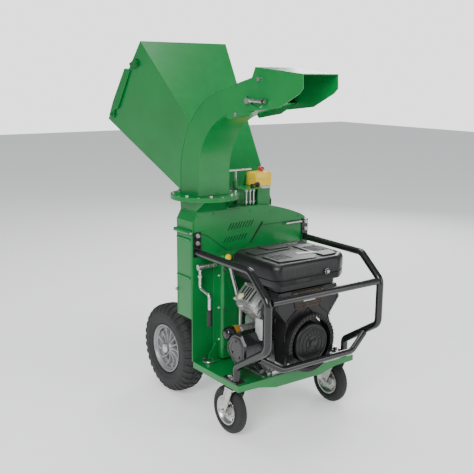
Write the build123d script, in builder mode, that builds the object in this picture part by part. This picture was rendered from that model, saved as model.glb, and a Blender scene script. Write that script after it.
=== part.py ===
from build123d import *
import os
import math

# Wood chipper: steel deck on two castors and two pneumatic wheels, V-twin engine, belt-driven rotor disc,
# tapered feed hopper, swivelling discharge chute with a hinged hood.
# Millimetres, +Z up, engine end towards -Y, hopper mouth towards +Y. The layout is written with Y = 0 at the
# deck's front edge, and YC moves it so that the origin is the centre of the bounding box at floor level.

YC = 534.56            # layout Y of the origin

# ---- driving dimensions -------------------------------------------------------------------------------
deck_hw = 310.0       # half width of the deck
deck_z = 240.0        # top of the deck
deck_t = 4.0
deck_len = 325.0      # deck front edge to bulkhead
lip_end = 26.0        # depth of the folded lip at its ends
lip_mid = 48.0        # depth of the front lip in the middle

post_hw = 313.0       # half width of bulkhead and rotor housing
bulk_y0, bulk_y1 = 325.0, 330.0
hous_y1 = 444.0       # rear face of the rotor housing
hous_z0 = 426.0       # underside of the rotor housing
split_z = 797.0       # split line of the rotor housing
rotor_z = 632.0       # rotor axis height
crank_z = 378.0       # crankshaft axis height
disc_r = 196.0

wheel_r = 203.0       # main tyre radius
wheel_w = 112.0
wheel_x = 222.0       # middle of the main tyre
wheel_y = 620.0       # axle position
castor_r = 100.0
castor_w = 50.0
castor_x = 275.0
castor_y = 60.0       # swivel axis
castor_trail = 43.0

chute_x, chute_y = -214.0, 381.0   # swivel axis of the chute
ring_r = 143.0
ring_z = 937.0        # joint between the two swivel rings
duct_hw = 75.0        # half width of the chute duct
plate = 3.0

hop_x = 102.0         # middle of the hopper
hood_y, hood_z = -84.0, 1418.0     # hood pivot
tray_y, tray_z = 1334.0, 1229.0    # feed tray pivot

tube_r = 15.0         # bumper tube
tube_x = 291.0
eng_pul_r = 47.0
rot_pul_r = 56.0
lev_y, lev_z = 300.0, 655.0      # tension lever shaft
arm_p = (-150.0, 560.0)          # pivot of the idler arm (X, Z)

os.makedirs("parts", exist_ok=True)


# ---- planes in layout coordinates ----------------------------------------------------------------------
def XY(z):
    return Plane(origin=(0, -YC, z), x_dir=(1, 0, 0), z_dir=(0, 0, 1))


def XZ(y):            # local axes X and Z, extrudes towards -Y
    return Plane(origin=(0, y - YC, 0), x_dir=(1, 0, 0), z_dir=(0, -1, 0))


def YZ(x):            # local axes Y and Z, extrudes towards +X
    return Plane(origin=(x, -YC, 0), x_dir=(0, 1, 0), z_dir=(1, 0, 0))


def block(x0, x1, y0, y1, z0, z1, mode=Mode.ADD):
    with Locations(((x0 + x1) / 2, (y0 + y1) / 2 - YC, (z0 + z1) / 2)):
        Box(x1 - x0, y1 - y0, z1 - z0, mode=mode)


def rod(axis, x, y, z, r, a, b, mode=Mode.ADD):
    """Cylinder of radius r along an axis from a to b through (x, y, z)."""
    m, h = (a + b) / 2, b - a
    if axis == "X":
        with Locations((m, y - YC, z)):
            Cylinder(r, h, rotation=(0, 90, 0), mode=mode)
    elif axis == "Y":
        with Locations((x, m - YC, z)):
            Cylinder(r, h, rotation=(90, 0, 0), mode=mode)
    else:
        with Locations((x, y - YC, m)):
            Cylinder(r, h, mode=mode)


def hexhead(axis, x, y, z, r, a, b):
    """Hexagon prism along an axis from a to b."""
    if axis == "X":
        p, c = YZ(a), (y, z)
    elif axis == "Y":
        p, c = XZ(b), (x, z)
    else:
        p, c = XY(a), (x, y)
    with BuildSketch(p) as s:
        with Locations(c):
            RegularPolygon(r, 6)
    extrude(s.sketch, amount=b - a)


def save(b, name):
    b.part.label = name
    export_step(b.part, "parts/%s.step" % name)


# ======================================================================================================
# Chassis
# ======================================================================================================
with BuildPart() as deck:
    block(-deck_hw, deck_hw, 0, deck_len - 0.5, deck_z - deck_t, deck_z)
    block(-deck_hw, -deck_hw + deck_t, 0, deck_len - 0.5, deck_z - lip_end, deck_z)
    block(deck_hw - deck_t, deck_hw, 0, deck_len - 0.5, deck_z - lip_end, deck_z)
    with BuildSketch(XZ(deck_t)):
        with BuildLine():
            Polyline((-deck_hw, deck_z), (-deck_hw, deck_z - lip_end), (-210, deck_z - lip_end - 2),
                     (-120, deck_z - lip_mid), (120, deck_z - lip_mid), (210, deck_z - lip_end - 2),
                     (deck_hw, deck_z - lip_end), (deck_hw, deck_z), close=True)
        make_face()
    extrude(amount=deck_t)
    # castor mounting plates and raceways under the deck
    for s in (-1, 1):
        block(s * castor_x - 30, s * castor_x + 30, 14, 112, 230, deck_z - deck_t + 0.5)
        rod("Z", s * castor_x, castor_y, 0, 26, 225, 230)
save(deck, "deck")

with BuildPart() as rails:
    for s in (-1, 1):
        block(s * 125 - 15, s * 125 + 15, 6, 594.5, deck_z - 44, deck_z - deck_t - 0.2)
        block(s * 125 - 12, s * 125 + 12, 3, 594.5, deck_z - 41, deck_z - deck_t - 3.2, mode=Mode.SUBTRACT)
        # rear posts from the rails to the rotor housing
        block(s * 125 - 15, s * 125 + 15, 412, 442, deck_z - deck_t - 0.2, hous_z0 - 0.2)
    for y in (52, 196, 470):
        block(-110.2, 110.2, y, y + 24, deck_z - 42, deck_z - deck_t - 0.4)
save(rails, "chassis_rails")

with BuildPart() as axle:
    block(-158, 158, 595, 645, 178, 228)
    rod("X", 0, wheel_y, wheel_r, 12.5, -(wheel_x + 52), wheel_x + 52)
    for s in (-1, 1):
        rod("X", 0, wheel_y, wheel_r, 19, min(s * 158, s * 166), max(s * 158, s * 166))
    for e in (-1, 1):
        hexhead("X", 0, wheel_y, wheel_r, 15, min(e * 268, e * 276), max(e * 268, e * 276))
save(axle, "axle_beam")

with BuildPart() as bulkhead:
    block(-post_hw, post_hw, bulk_y0, bulk_y1, deck_z, split_z - 1)
    rod("Y", 0, 0, rotor_z, 30, bulk_y0 - 5, bulk_y1 + 5, mode=Mode.SUBTRACT)
    rod("Y", arm_p[0], 0, arm_p[1], 8.0, 306.4, bulk_y0)
    rod("Y", arm_p[0], 0, arm_p[1], 11, 303.4, 306.4)
save(bulkhead, "bulkhead_plate")

with BuildPart() as hlow:
    # rear wall with the feed opening, side posts, scroll floor
    block(-post_hw, post_hw, hous_y1 - 5, hous_y1, hous_z0, split_z - 1)
    block(-post_hw, -post_hw + 5, bulk_y1, hous_y1 - 5, hous_z0, split_z - 1)
    block(post_hw - 5, post_hw, bulk_y1, hous_y1 - 5, hous_z0, split_z - 1)
    with BuildSketch(XZ(hous_y1 - 5)):
        with BuildLine():
            Polyline((204, split_z - 1), (204, rotor_z))
            ThreePointArc((204, rotor_z), (143, rotor_z - 143), (0, rotor_z - 202))
            ThreePointArc((0, rotor_z - 202), (-147, rotor_z - 144), (-214, rotor_z))
            Polyline((-214, rotor_z), (-290, rotor_z + 60), (-290, split_z - 1), (-294, split_z - 1),
                     (-294, rotor_z + 58), (-218, rotor_z - 2))
            ThreePointArc((-218, rotor_z - 2), (-150, rotor_z - 147), (0, rotor_z - 206))
            ThreePointArc((0, rotor_z - 206), (146, rotor_z - 146), (208, rotor_z))
            Polyline((208, rotor_z), (208, split_z - 1), (204, split_z - 1))
        make_face()
    extrude(amount=hous_y1 - 5 - bulk_y1)
    block(45, 150, hous_y1 - 10, hous_y1 + 5, 680, 764, mode=Mode.SUBTRACT)
    rod("Y", 0, 0, rotor_z, 26, hous_y1 - 10, hous_y1 + 5, mode=Mode.SUBTRACT)
    # raised ribs on the outer posts
    for s in (-1, 1):
        for z in (765, 602):
            rod("Y", s * (post_hw + 1), 0, z, 5, bulk_y1 + 8, hous_y1 - 6)
    # outer hinge knuckles
    for a, b in ((bulk_y1 + 0.4, 335.5), (436.5, hous_y1 - 0.2)):
        block(-post_hw - 9.3, -post_hw + 1, a, b, split_z - 8.6, split_z - 1)
        rod("Y", -(post_hw + 9.3), 0, split_z, 8.6, a, b)
        rod("Y", -(post_hw + 9.3), 0, split_z, 5.05, a - 1, b + 1, mode=Mode.SUBTRACT)
save(hlow, "housing_lower")

with BuildPart() as guard:
    with BuildSketch(XY(250)):
        with Locations((0, 293.35)):
            RectangleRounded(410, 62.7, 14)
        with Locations((0, 312)):
            Rectangle(410, 25.4)
    extrude(amount=450)
    with BuildSketch(XY(240)):
        with Locations((0, 293.35)):
            RectangleRounded(404, 56.7, 11)
        with Locations((0, 313)):
            Rectangle(404, 32)
    extrude(amount=457, mode=Mode.SUBTRACT)
    rod("Y", 0, 0, crank_z, 34, 250, 270, mode=Mode.SUBTRACT)
    rod("X", 0, lev_y, lev_z, 12, -213, -203)
    rod("X", 0, lev_y, lev_z, 6.06, -216, -195, mode=Mode.SUBTRACT)
save(guard, "belt_guard")

with BuildPart() as bear:
    for y0, y1, d in ((306, bulk_y0, -1), (hous_y1, 463, 1)):
        rod("Y", 0, 0, rotor_z, 37, y0 if d > 0 else y1 - 8, y0 + 8 if d > 0 else y1)
        rod("Y", 0, 0, rotor_z, 29, y0, y1)
        rod("Y", 0, 0, rotor_z, 17.55, y0 - 1, y1 + 1, mode=Mode.SUBTRACT)
save(bear, "rotor_bearings")

with BuildPart() as anvil:
    block(45, 150, hous_y1 - 17, hous_y1 - 5, 668, 679.5)
save(anvil, "anvil_knife")

# ---- bumper ---------------------------------------------------------------------------------------------
for side, sname in ((-1, "left"), (1, "right")):
    X = side * tube_x
    with BuildPart() as tube:
        with BuildLine() as path:
            FilletPolyline((X, 319 - YC, 714), (X, -42 - YC, 711), (X, -155 - YC, 615), (X, -155 - YC, 428),
                           (X, 38 - YC, 305), (X, 38 - YC, 246), radius=(42, 42, 42, 26))
        with BuildSketch(Plane(origin=(X, 319 - YC, 714), z_dir=(0, -1, -0.0083))):
            Circle(tube_r)
        sweep()
        # welded mounting plate and foot
        block(X - 17, X + 17, 319, 324.6, 694, 796)
        block(min(side * 265, side * 309), max(side * 265, side * 309), 18, 114, deck_z + 0.05, deck_z + 6)
    save(tube, "bumper_side_%s" % sname)

with BuildPart() as xbar:
    with BuildLine():
        FilletPolyline((-277.5, -90.6 - YC, 373.7), (-185, -114 - YC, 318), (185, -114 - YC, 318),
                       (277.5, -90.6 - YC, 373.7), radius=60)
    with BuildSketch(Plane(origin=(-277.5, -90.6 - YC, 373.7), z_dir=(92.5, -23.4, -55.7))):
        Circle(13)
    sweep()
    rod("X", 0, -155, 612, tube_r - 1, -(tube_x - tube_r - 0.3), tube_x - tube_r - 0.3)
save(xbar, "bumper_crossbars")

with BuildPart() as fbolts:
    for s in (-1, 1):
        for z in (784, 752):
            rod("Y", s * 291, 0, z, 9, 315.5, 318.9)
            hexhead("Y", s * 291, 0, z, 8, 309, 315.5)
        rod("Z", s * 287, 90, 0, 10, deck_z + 6.05, deck_z + 8.5)
        hexhead("Z", s * 287, 90, 0, 9, deck_z + 8.5, deck_z + 16)
    # upper housing hinge pin along the left post, and the lock bolt on the rear edge
    rod("Y", -(post_hw + 9.3), 0, split_z, 5, 318, 446)
    rod("X", 0, 436, 537, 6, -(post_hw + 12), -(post_hw + 0.05))
    # guard screws
    for x, z in ((-196, 640), (-196, 470), (-196, 300), (196, 640), (196, 470), (196, 300)):
        rod("Y", x, 0, z, 6, 258.5, 261.95)
save(fbolts, "frame_fasteners")

with BuildPart() as dring:
    with Locations((-255, 286 - YC, deck_z + 5.2)):
        Torus(24, 5)
    block(-261, -249, 306, 324.4, deck_z + 0.05, deck_z + 14)
save(dring, "lashing_ring")

# ======================================================================================================
# Hopper
# ======================================================================================================
nY, nZ = 0.7326, 0.6806      # outward normal of the mouth plane (Y, Z)
vY, vZ = 0.6806, -0.7326     # direction down the mouth
small = Plane(origin=(hop_x, 517 - YC, 806.5), x_dir=(1, 0, 0), z_dir=(0, nY, nZ))
mouth = Plane(origin=(hop_x, 1211.5 - YC, 1393), x_dir=(1, 0, 0), z_dir=(0, nY, nZ))

with BuildPart() as hopper:
    # four flat plates with mitred edges, welded along the seams; g keeps each mitre line apart
    g = 0.03
    for side in range(4):
        quads = []
        for w, h in ((182, 200), (494, 519)):
            w, h = w / 2, h / 2
            i, k = w - plate, h - plate
            quads.append([((-w + g, h), (w - g, h), (i - g, k), (-i + g, k)),
                          ((-w + g, -h), (w - g, -h), (i - g, -k), (-i + g, -k)),
                          ((w, -h + g), (w, h - g), (i, k - g), (i, -k + g)),
                          ((-w, -h + g), (-w, h - g), (-i, k - g), (-i, -k + g))][side])
        with BuildSketch(small):
            with BuildLine():
                Polyline(*quads[0], close=True)
            make_face()
        with BuildSketch(mouth):
            with BuildLine():
                Polyline(*quads[1], close=True)
            make_face()
        loft()
save(hopper, "hopper")

with BuildPart() as throat:
    x0, x1 = hop_x - 91, hop_x + 91
    with BuildSketch(YZ(x0)):
        with BuildLine():
            Polyline((444.2, 880), (448.4, 880), (584.4, 733.5), (444.2, 671.5), close=True)
        make_face()
    extrude(amount=x1 - x0)
    with BuildSketch(YZ(x0 + plate)):
        with BuildLine():
            Polyline((443, 674.2), (592.4, 740.3), (470, 877), (443, 877), close=True)
        make_face()
    extrude(amount=x1 - x0 - 2 * plate, mode=Mode.SUBTRACT)
    block(45, 150, 440, 450, 680, 764, mode=Mode.SUBTRACT)
save(throat, "hopper_throat")


def mouth_pt(down, out):
    """Layout (Y, Z) of a point in the mouth frame: distance down from the top edge, and out of the mouth."""
    return (1035 + down * vY + out * nY, 1583 + down * vZ + out * nZ)


# folding feed tray: plate over the lower half of the mouth, side flanges outside the hopper walls
L0, L1 = 200.0, 490.0
Lw = 410.0                   # below this the plate is narrow enough to swing in between the side walls
hw = 247.0


def tray_out(down):
    """How far the tray plate's inner face stands off the mouth plane at a distance down it."""
    return 26.5 - (down - L0) * 0.0703


with BuildPart() as tray:
    for d0, d1, w in ((L0, Lw, hw + 4), (Lw - 0.5, L1, 231.5)):
        with BuildSketch(YZ(hop_x - w)):
            with BuildLine():
                Polyline(mouth_pt(d0, tray_out(d0)), mouth_pt(d0, tray_out(d0) + 3), mouth_pt(d1, tray_out(d1) + 3),
                         mouth_pt(d1, tray_out(d1)), close=True)
            make_face()
        extrude(amount=2 * w)
    with BuildSketch(YZ(hop_x - hw + 4)):
        with BuildLine():
            Polyline(mouth_pt(L0, 6), mouth_pt(L0 + 3, 6), mouth_pt(L0 + 3, 27.5), mouth_pt(L0, 27.5), close=True)
        make_face()
    extrude(amount=2 * hw - 8)
    f = [mouth_pt(L0, 29.5), mouth_pt(168, -20), mouth_pt(400, -46), (1313, 1248), (1313, 1222), (1324, 1211), (1338, 1207),
         mouth_pt(493, -2), mouth_pt(Lw, tray_out(Lw) + 3)]
    for xs in (hop_x - hw - 4, hop_x + hw + 1):
        with BuildSketch(YZ(xs)):
            with BuildLine():
                Polyline(*f, close=True)
            make_face()
        extrude(amount=3)
    rod("X", 0, tray_y, tray_z, 5.2, hop_x - hw - 10, hop_x + hw + 10, mode=Mode.SUBTRACT)
save(tray, "feed_tray")

with BuildPart() as hhard:
    for s in (-1, 1):
        xa = hop_x + s * (hw + 0.05)
        # tray pivot bolt
        a, b = sorted((hop_x + s * (hw - 2.6), hop_x + s * (hw + 4.4)))
        rod("X", 0, tray_y, tray_z, 5.12, a, b)
        a, b = sorted((hop_x + s * (hw + 4.4), hop_x + s * (hw + 8)))
        rod("X", 0, tray_y, tray_z, 9, a, b)
        # latch bracket above the tray flange
        g = [mouth_pt(150, 10), mouth_pt(92, -20), mouth_pt(86, -46), mouth_pt(102, -60), mouth_pt(156, -24)]
        a, b = sorted((xa, hop_x + s * (hw + 4)))
        with BuildSketch(YZ(a)) as sk:
            with BuildLine():
                Polyline(*g, close=True)
            make_face()
        extrude(sk.sketch, amount=b - a)
        y, z = mouth_pt(102, -40)
        a, b = sorted((hop_x + s * (hw - 4.9), hop_x + s * (hw + 8)))
        rod("X", 0, y, z, 7.5, a, b)
save(hhard, "hopper_brackets")

# ======================================================================================================
# Upper rotor housing, cover panel, controls
# ======================================================================================================
top = [(-post_hw, split_z), (-post_hw, 842), (-292, 880), (-138, 884), (40, 880), (91, 874), (147, 862), (205, 845),
       (265, 823), (294, 807), (294, split_z)]
inn = [(-post_hw + 5, split_z - 1), (-post_hw + 5, 841), (-287, 876), (-143, 879), (40, 875.5), (90, 869.5),
       (146, 857.5), (203, 840.5), (262, 819), (289, 804), (289, split_z - 1)]
with BuildPart() as hup:
    with BuildSketch(XZ(hous_y1)):
        with BuildLine():
            Polyline(*top, close=True)
        make_face()
    extrude(amount=hous_y1 - bulk_y0)
    with BuildSketch(XZ(hous_y1 - 5)):
        with BuildLine():
            Polyline(*inn, close=True)
        make_face()
    extrude(amount=hous_y1 - 5 - bulk_y1, mode=Mode.SUBTRACT)
    # discharge neck
    with BuildSketch(XY(876)):
        with Locations((-215, 385)):
            Rectangle(154, 118)
    with BuildSketch(XY(ring_z - 9)):
        with Locations((-214, 381)):
            Rectangle(154, 142)
    loft()
    with BuildSketch(XY(860)):
        with Locations((-215, 385)):
            Rectangle(144, 108)
    with BuildSketch(XY(ring_z - 9)):
        with Locations((-214, 381)):
            Rectangle(144, 132)
    loft(mode=Mode.SUBTRACT)
    rod("Z", chute_x, chute_y, 0, ring_r, ring_z - 9, ring_z - 0.15)
    block(-286, -142, 315, 447, ring_z - 20, ring_z + 1, mode=Mode.SUBTRACT)
    # gussets under the ring
    for x in (-292, -140):
        with BuildSketch(YZ(x - 2)):
            with BuildLine():
                Polyline((bulk_y0 - 0.0, 884), (bulk_y0, ring_z - 9), (262, ring_z - 9), close=True)
            make_face()
        extrude(amount=4)
    # hinge knuckle on the left post
    with BuildSketch(XZ(436)):
        with BuildLine():
            Polyline((-post_hw - 9.3, split_z + 8.6), (-post_hw + 1, split_z + 14), (-post_hw + 1, split_z + 1),
                     (-post_hw - 9.3, split_z + 1), close=True)
        make_face()
    extrude(amount=100)
    rod("Y", -(post_hw + 9.3), 0, split_z, 8.6, 336, 436)
    rod("Y", -(post_hw + 9.3), 0, split_z, 5.06, 300, 460, mode=Mode.SUBTRACT)
save(hup, "housing_upper")

with BuildPart() as cpanel:
    with BuildSketch(XZ(bulk_y0 - 0.3)):
        with BuildLine():
            Polyline((-272, 788), (-240, 777), (-143, 706), (-60, 706), (-21, 724), (40, 800), (62, 792), (160, 791),
                     (166, 779), (268, 779), (268, 799), (288, 799), (288, 806), (262, 820), (204, 842), (146, 859),
                     (90, 870), (40, 876), (-136, 878), (-290, 876), (-305, 850), (-305, 799), (-272, 799), close=True)
        make_face()
        # two rows of slanted vent slots and one long slot
        for i in range(9):
            with Locations(Location((-126 + i * 14.6, 803 + i * 0.6), -32)):
                SlotOverall(34, 5, rotation=90, mode=Mode.SUBTRACT)
        for i in range(8):
            with Locations(Location((-150 + i * 15.2, 747 + i * 1.0), -32)):
                SlotOverall(30, 5, rotation=90, mode=Mode.SUBTRACT)
    extrude(amount=3)
save(cpanel, "cover_panel")

with BuildPart() as chandle:
    rod("X", 0, 311, 788, 4.5, 172, 263)
    for x in (182, 253):
        rod("Y", x, 0, 788, 4.5, 311, bulk_y0 - 3.35)
save(chandle, "cover_handle")

with BuildPart() as cpost:
    # folded post for the stop box, latch bracket, and the steel lift bar with its two legs
    block(54, 122, 366, 432, 862, 944)
    block(57, 119, 369, 440, 855, 941, mode=Mode.SUBTRACT)
    with BuildSketch(XZ(440)):
        with BuildLine():
            Polyline((53, 850), (53, 879), (54, 878.8), (91, 874.5), (123, 868.3), (123, 850), close=True)
        make_face()
    extrude(amount=80, mode=Mode.SUBTRACT)
    block(-44, 54.5, 336, 438, 950, 954)
    block(54, 58, 366, 432, 942, 954)
    block(-44, -2, 385, 435, 882.4, 952)
    block(28, 54.5, 400, 438, 880.5, 952)
    rod("Z", 10, 348, 0, 5.06, 940, 960, mode=Mode.SUBTRACT)
save(cpost, "control_bracket")

with BuildPart() as lift:
    rod("X", 0, 428, 1024, 5, -66, 62)
    for x in (-60, -20):
        rod("Z", x, 428, 0, 4.5, 882.7 if x == -60 else 954.1, 1024)
save(lift, "lift_bar")

with BuildPart() as sbox:
    with BuildSketch(XY(944.3)):
        with Locations((92, 399)):
            RectangleRounded(66, 74, 6)
    extrude(amount=11)
    with BuildSketch(XY(955.2)):
        with Locations((85, 399)):
            RectangleRounded(90, 70, 7)
    extrude(amount=60.8)
    fillet(sbox.faces().sort_by(Axis.Z)[-1].edges(), 5)
    rod("Z", 96, 399, 0, 8.3, 1000, 1020, mode=Mode.SUBTRACT)
save(sbox, "stop_box")

with BuildPart() as sbtn:
    with BuildSketch(Plane(origin=(96, 399 - YC, 0), x_dir=(1, 0, 0), z_dir=(0, -1, 0))):
        with BuildLine():
            Polyline((0, 1040), (0, 1004), (8, 1004), (8, 1022), (13, 1022), (14.5, 1025), (14.2, 1030), (12, 1034.5),
                     (8.5, 1038), (4, 1040), close=True)
        make_face()
    revolve(axis=Axis((96, 399 - YC, 0), (0, 0, 1)))
save(sbtn, "stop_button")

with BuildPart() as latch:
    rod("Z", 10, 348, 0, 5, 948, 966)
    rod("Z", 10, 348, 0, 8, 954.4, 960)
    rod("X", 0, 348, 968, 4.5, 3, 32)
    with Locations((38, 348 - YC, 968)):
        Sphere(11)
save(latch, "latch_lever")

# ======================================================================================================
# Chute, hood
# ======================================================================================================
with BuildPart() as chute:
    with BuildSketch(YZ(chute_x - duct_hw)):
        with BuildLine():
            a = FilletPolyline((450, ring_z + 5), (450, 1307), (-76, 1432), radius=362)
            b = Line((-76, 1432), (-110, 1333))
            c = FilletPolyline((-110, 1333), (312, 1236), (312, ring_z + 5), radius=250)
            d = Line((312, ring_z + 5), (450, ring_z + 5))
        make_face()
    extrude(amount=2 * duct_hw)
    with BuildSketch(YZ(chute_x - duct_hw + plate)):
        with BuildLine():
            FilletPolyline((447, ring_z - 5), (447, 1304.6), (-110, 1437), radius=359)
            Line((-110, 1437), (-140, 1343.1))
            FilletPolyline((-140, 1343.1), (315, 1238.5), (315, ring_z - 5), radius=253)
            Line((315, ring_z - 5), (447, ring_z - 5))
        make_face()
    extrude(amount=2 * duct_hw - 2 * plate, mode=Mode.SUBTRACT)
    rod("Z", chute_x, chute_y, 0, ring_r, ring_z + 0.15, ring_z + 9)
    block(chute_x - duct_hw + plate, chute_x + duct_hw - plate, 315, 447, ring_z - 5, ring_z + 20, mode=Mode.SUBTRACT)
    # lower skirts of the side plates, and the studs for the hood
    for xs in (chute_x - duct_hw, chute_x + duct_hw - plate):
        with BuildSketch(YZ(xs)):
            with BuildLine():
                Polyline((128, 1284), (112, 1268), (-20, 1290), (-104, 1331), close=True)
            make_face()
        extrude(amount=plate)
        rod("X", 0, hood_y, hood_z, 15, xs, xs + plate)
save(chute, "chute")

with BuildPart() as rbolts:
    for k in range(8):
        t = math.radians(22.5 + 45 * k)
        x, y = chute_x + 130 * math.cos(t), chute_y + 130 * math.sin(t)
        rod("Z", x, y, 0, 7, ring_z + 9.05, ring_z + 11)
        hexhead("Z", x, y, 0, 7, ring_z + 11, ring_z + 17)
    for s in (-1, 1):
        xa = chute_x + s * (duct_hw + 0.05)
        a, b = sorted((xa, chute_x + s * (duct_hw + 5)))
        rod("X", 0, hood_y, hood_z, 5, a, b)
        a, b = sorted((chute_x + s * (duct_hw + 5), chute_x + s * (duct_hw + 10)))
        rod("X", 0, hood_y, hood_z, 9, a, b)
    a, b = chute_x - duct_hw - 9, chute_x - duct_hw - 0.05
    rod("X", 0, -30, 1341, 4.5, chute_x - duct_hw - 22, b)
    rod("X", 0, 60, 1288, 8, chute_x - duct_hw - 4, b)
save(rbolts, "chute_fasteners")

py, pz = hood_y, hood_z
with BuildPart() as hood:
    side = [(-58, 1456), (-317, 1434), (-319, 1388), (-300, 1371), (-197, 1322), (-16, 1302), (8, 1330)]
    for xs in (chute_x - duct_hw - 4, chute_x + duct_hw + 1):
        with BuildSketch(YZ(xs)):
            with BuildLine():
                Polyline(*side, close=True)
            make_face()
        extrude(amount=3)
    with BuildSketch(YZ(chute_x - duct_hw - 4)):
        with BuildLine():
            Polyline((-58, 1456), (-317, 1434), (-317, 1437), (-58, 1459), close=True)
        make_face()
    extrude(amount=2 * duct_hw + 8)
    rod("X", 0, py, pz, 5.05, chute_x - 100, chute_x + 100, mode=Mode.SUBTRACT)
    # arc slot for the clamp stud
    r0 = math.hypot(-30 - py, 1341 - pz)
    a0 = math.degrees(math.atan2(1341 - pz, -30 - py))
    def slot_pt(r, t):
        return (py + r * math.cos(math.radians(t)), pz + r * math.sin(math.radians(t)))
    with BuildSketch(YZ(chute_x - duct_hw - 6)):
        with BuildLine():
            ThreePointArc(slot_pt(r0 + 5.5, a0 - 42), slot_pt(r0 + 5.5, a0 - 16), slot_pt(r0 + 5.5, a0 + 10))
            ThreePointArc(slot_pt(r0 + 5.5, a0 + 10), slot_pt(r0, a0 + 13.3), slot_pt(r0 - 5.5, a0 + 10))
            ThreePointArc(slot_pt(r0 - 5.5, a0 + 10), slot_pt(r0 - 5.5, a0 - 16), slot_pt(r0 - 5.5, a0 - 42))
            ThreePointArc(slot_pt(r0 - 5.5, a0 - 42), slot_pt(r0, a0 - 45.3), slot_pt(r0 + 5.5, a0 - 42))
        make_face()
    extrude(amount=6, mode=Mode.SUBTRACT)
save(hood, "hood")

cx = chute_x - duct_hw
with BuildPart() as clamp:
    rod("X", 0, -30, 1341, 11, cx - 22, cx - 4.4)
    rod("X", 0, -30, 1341, 4.55, cx - 30, cx, mode=Mode.SUBTRACT)
    rod("Y", cx - 15, 0, 1341, 4.5, -118, -36)
    rod("Y", cx - 15, 0, 1341, 7, -136, -108)
save(clamp, "clamp_lever")

# ======================================================================================================
# Rotor, belts, tensioner
# ======================================================================================================
with BuildPart() as disc:
    rod("Y", 0, 0, rotor_z, disc_r, 398, 420)
    rod("Y", 0, 0, rotor_z, 45, 372, 398)
    for k in range(4):
        with BuildSketch(XZ(398)) as sk:
            with Locations((0, rotor_z)):
                with PolarLocations(118, 1, 90 * k + 45):
                    Rectangle(140, 8)
        extrude(sk.sketch, amount=52)
    rod("Y", 0, 0, rotor_z, 17.5, 300, 480, mode=Mode.SUBTRACT)
save(disc, "rotor_disc")

with BuildPart() as knives:
    for k in range(2):
        with BuildSketch(XZ(424.4)) as sk:
            with Locations((0, rotor_z)):
                with PolarLocations(120, 1, 180 * k + 90):
                    Rectangle(110, 34)
        extrude(sk.sketch, amount=4.3)
save(knives, "rotor_knives")

with BuildPart() as rshaft:
    rod("Y", 0, 0, rotor_z, 17.5, 270, 470)
save(rshaft, "rotor_shaft")

with BuildPart() as rpul:
    rod("Y", 0, 0, rotor_z, rot_pul_r, 274, 302)
    for yc_ in (281, 295):
        with BuildSketch(Plane(origin=(0, yc_ - YC, rotor_z), x_dir=(0, 1, 0), z_dir=(1, 0, 0))):
            with BuildLine():
                Polyline((-5, rot_pul_r + 1), (5, rot_pul_r + 1), (3.4, rot_pul_r - 10), (-3.4, rot_pul_r - 10), close=True)
            make_face()
        revolve(axis=Axis((0, 0, rotor_z), (0, 1, 0)), mode=Mode.SUBTRACT)
    rod("Y", 0, 0, rotor_z, 17.5, 260, 310, mode=Mode.SUBTRACT)
save(rpul, "rotor_pulley")

with BuildPart() as crank:
    rod("Y", 0, 0, crank_z, 12.7, -52, 310)
    rod("Y", 0, 0, crank_z, 34, 60, 80)
    rod("Y", 0, 0, crank_z, 34, 150, 170)
    rod("Y", 0, 0, crank_z, eng_pul_r, 274, 302)
    for yc_ in (281, 295):
        with BuildSketch(Plane(origin=(0, yc_ - YC, crank_z), x_dir=(0, 1, 0), z_dir=(1, 0, 0))):
            with BuildLine():
                Polyline((-5, eng_pul_r + 1), (5, eng_pul_r + 1), (3.4, eng_pul_r - 10), (-3.4, eng_pul_r - 10), close=True)
            make_face()
        revolve(axis=Axis((0, 0, crank_z), (0, 1, 0)), mode=Mode.SUBTRACT)
save(crank, "crankshaft")

ra, rb = rot_pul_r - 4.6, eng_pul_r - 4.6
with BuildPart() as belts:
    for yc_ in (281, 295):
        with BuildSketch(XZ(yc_ + 3.0)) as sk:
            with BuildLine():
                # outer loop round both pulleys
                gam = math.asin((ra - rb) / (rotor_z - crank_z))
                cg, sg = math.cos(gam), math.sin(gam)
                Ro, Re = ra + 4.6, rb + 4.6
                l1 = Line((Ro * cg, rotor_z - Ro * sg), (Re * cg, crank_z - Re * sg))
                a1 = ThreePointArc((Re * cg, crank_z - Re * sg), (0, crank_z - Re), (-Re * cg, crank_z - Re * sg))
                l2 = Line((-Re * cg, crank_z - Re * sg), (-Ro * cg, rotor_z - Ro * sg))
                a2 = ThreePointArc((-Ro * cg, rotor_z - Ro * sg), (0, rotor_z + Ro), (Ro * cg, rotor_z - Ro * sg))
            make_face()
            with BuildLine():
                Ri, Rj = ra - 4.9, rb - 4.9
                Line((Ri * cg, rotor_z - Ri * sg), (Rj * cg, crank_z - Rj * sg))
                ThreePointArc((Rj * cg, crank_z - Rj * sg), (0, crank_z - Rj), (-Rj * cg, crank_z - Rj * sg))
                Line((-Rj * cg, crank_z - Rj * sg), (-Ri * cg, rotor_z - Ri * sg))
                ThreePointArc((-Ri * cg, rotor_z - Ri * sg), (0, rotor_z + Ri), (Ri * cg, rotor_z - Ri * sg))
            make_face(mode=Mode.SUBTRACT)
        extrude(sk.sketch, amount=6.0)
save(belts, "drive_belts")

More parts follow.
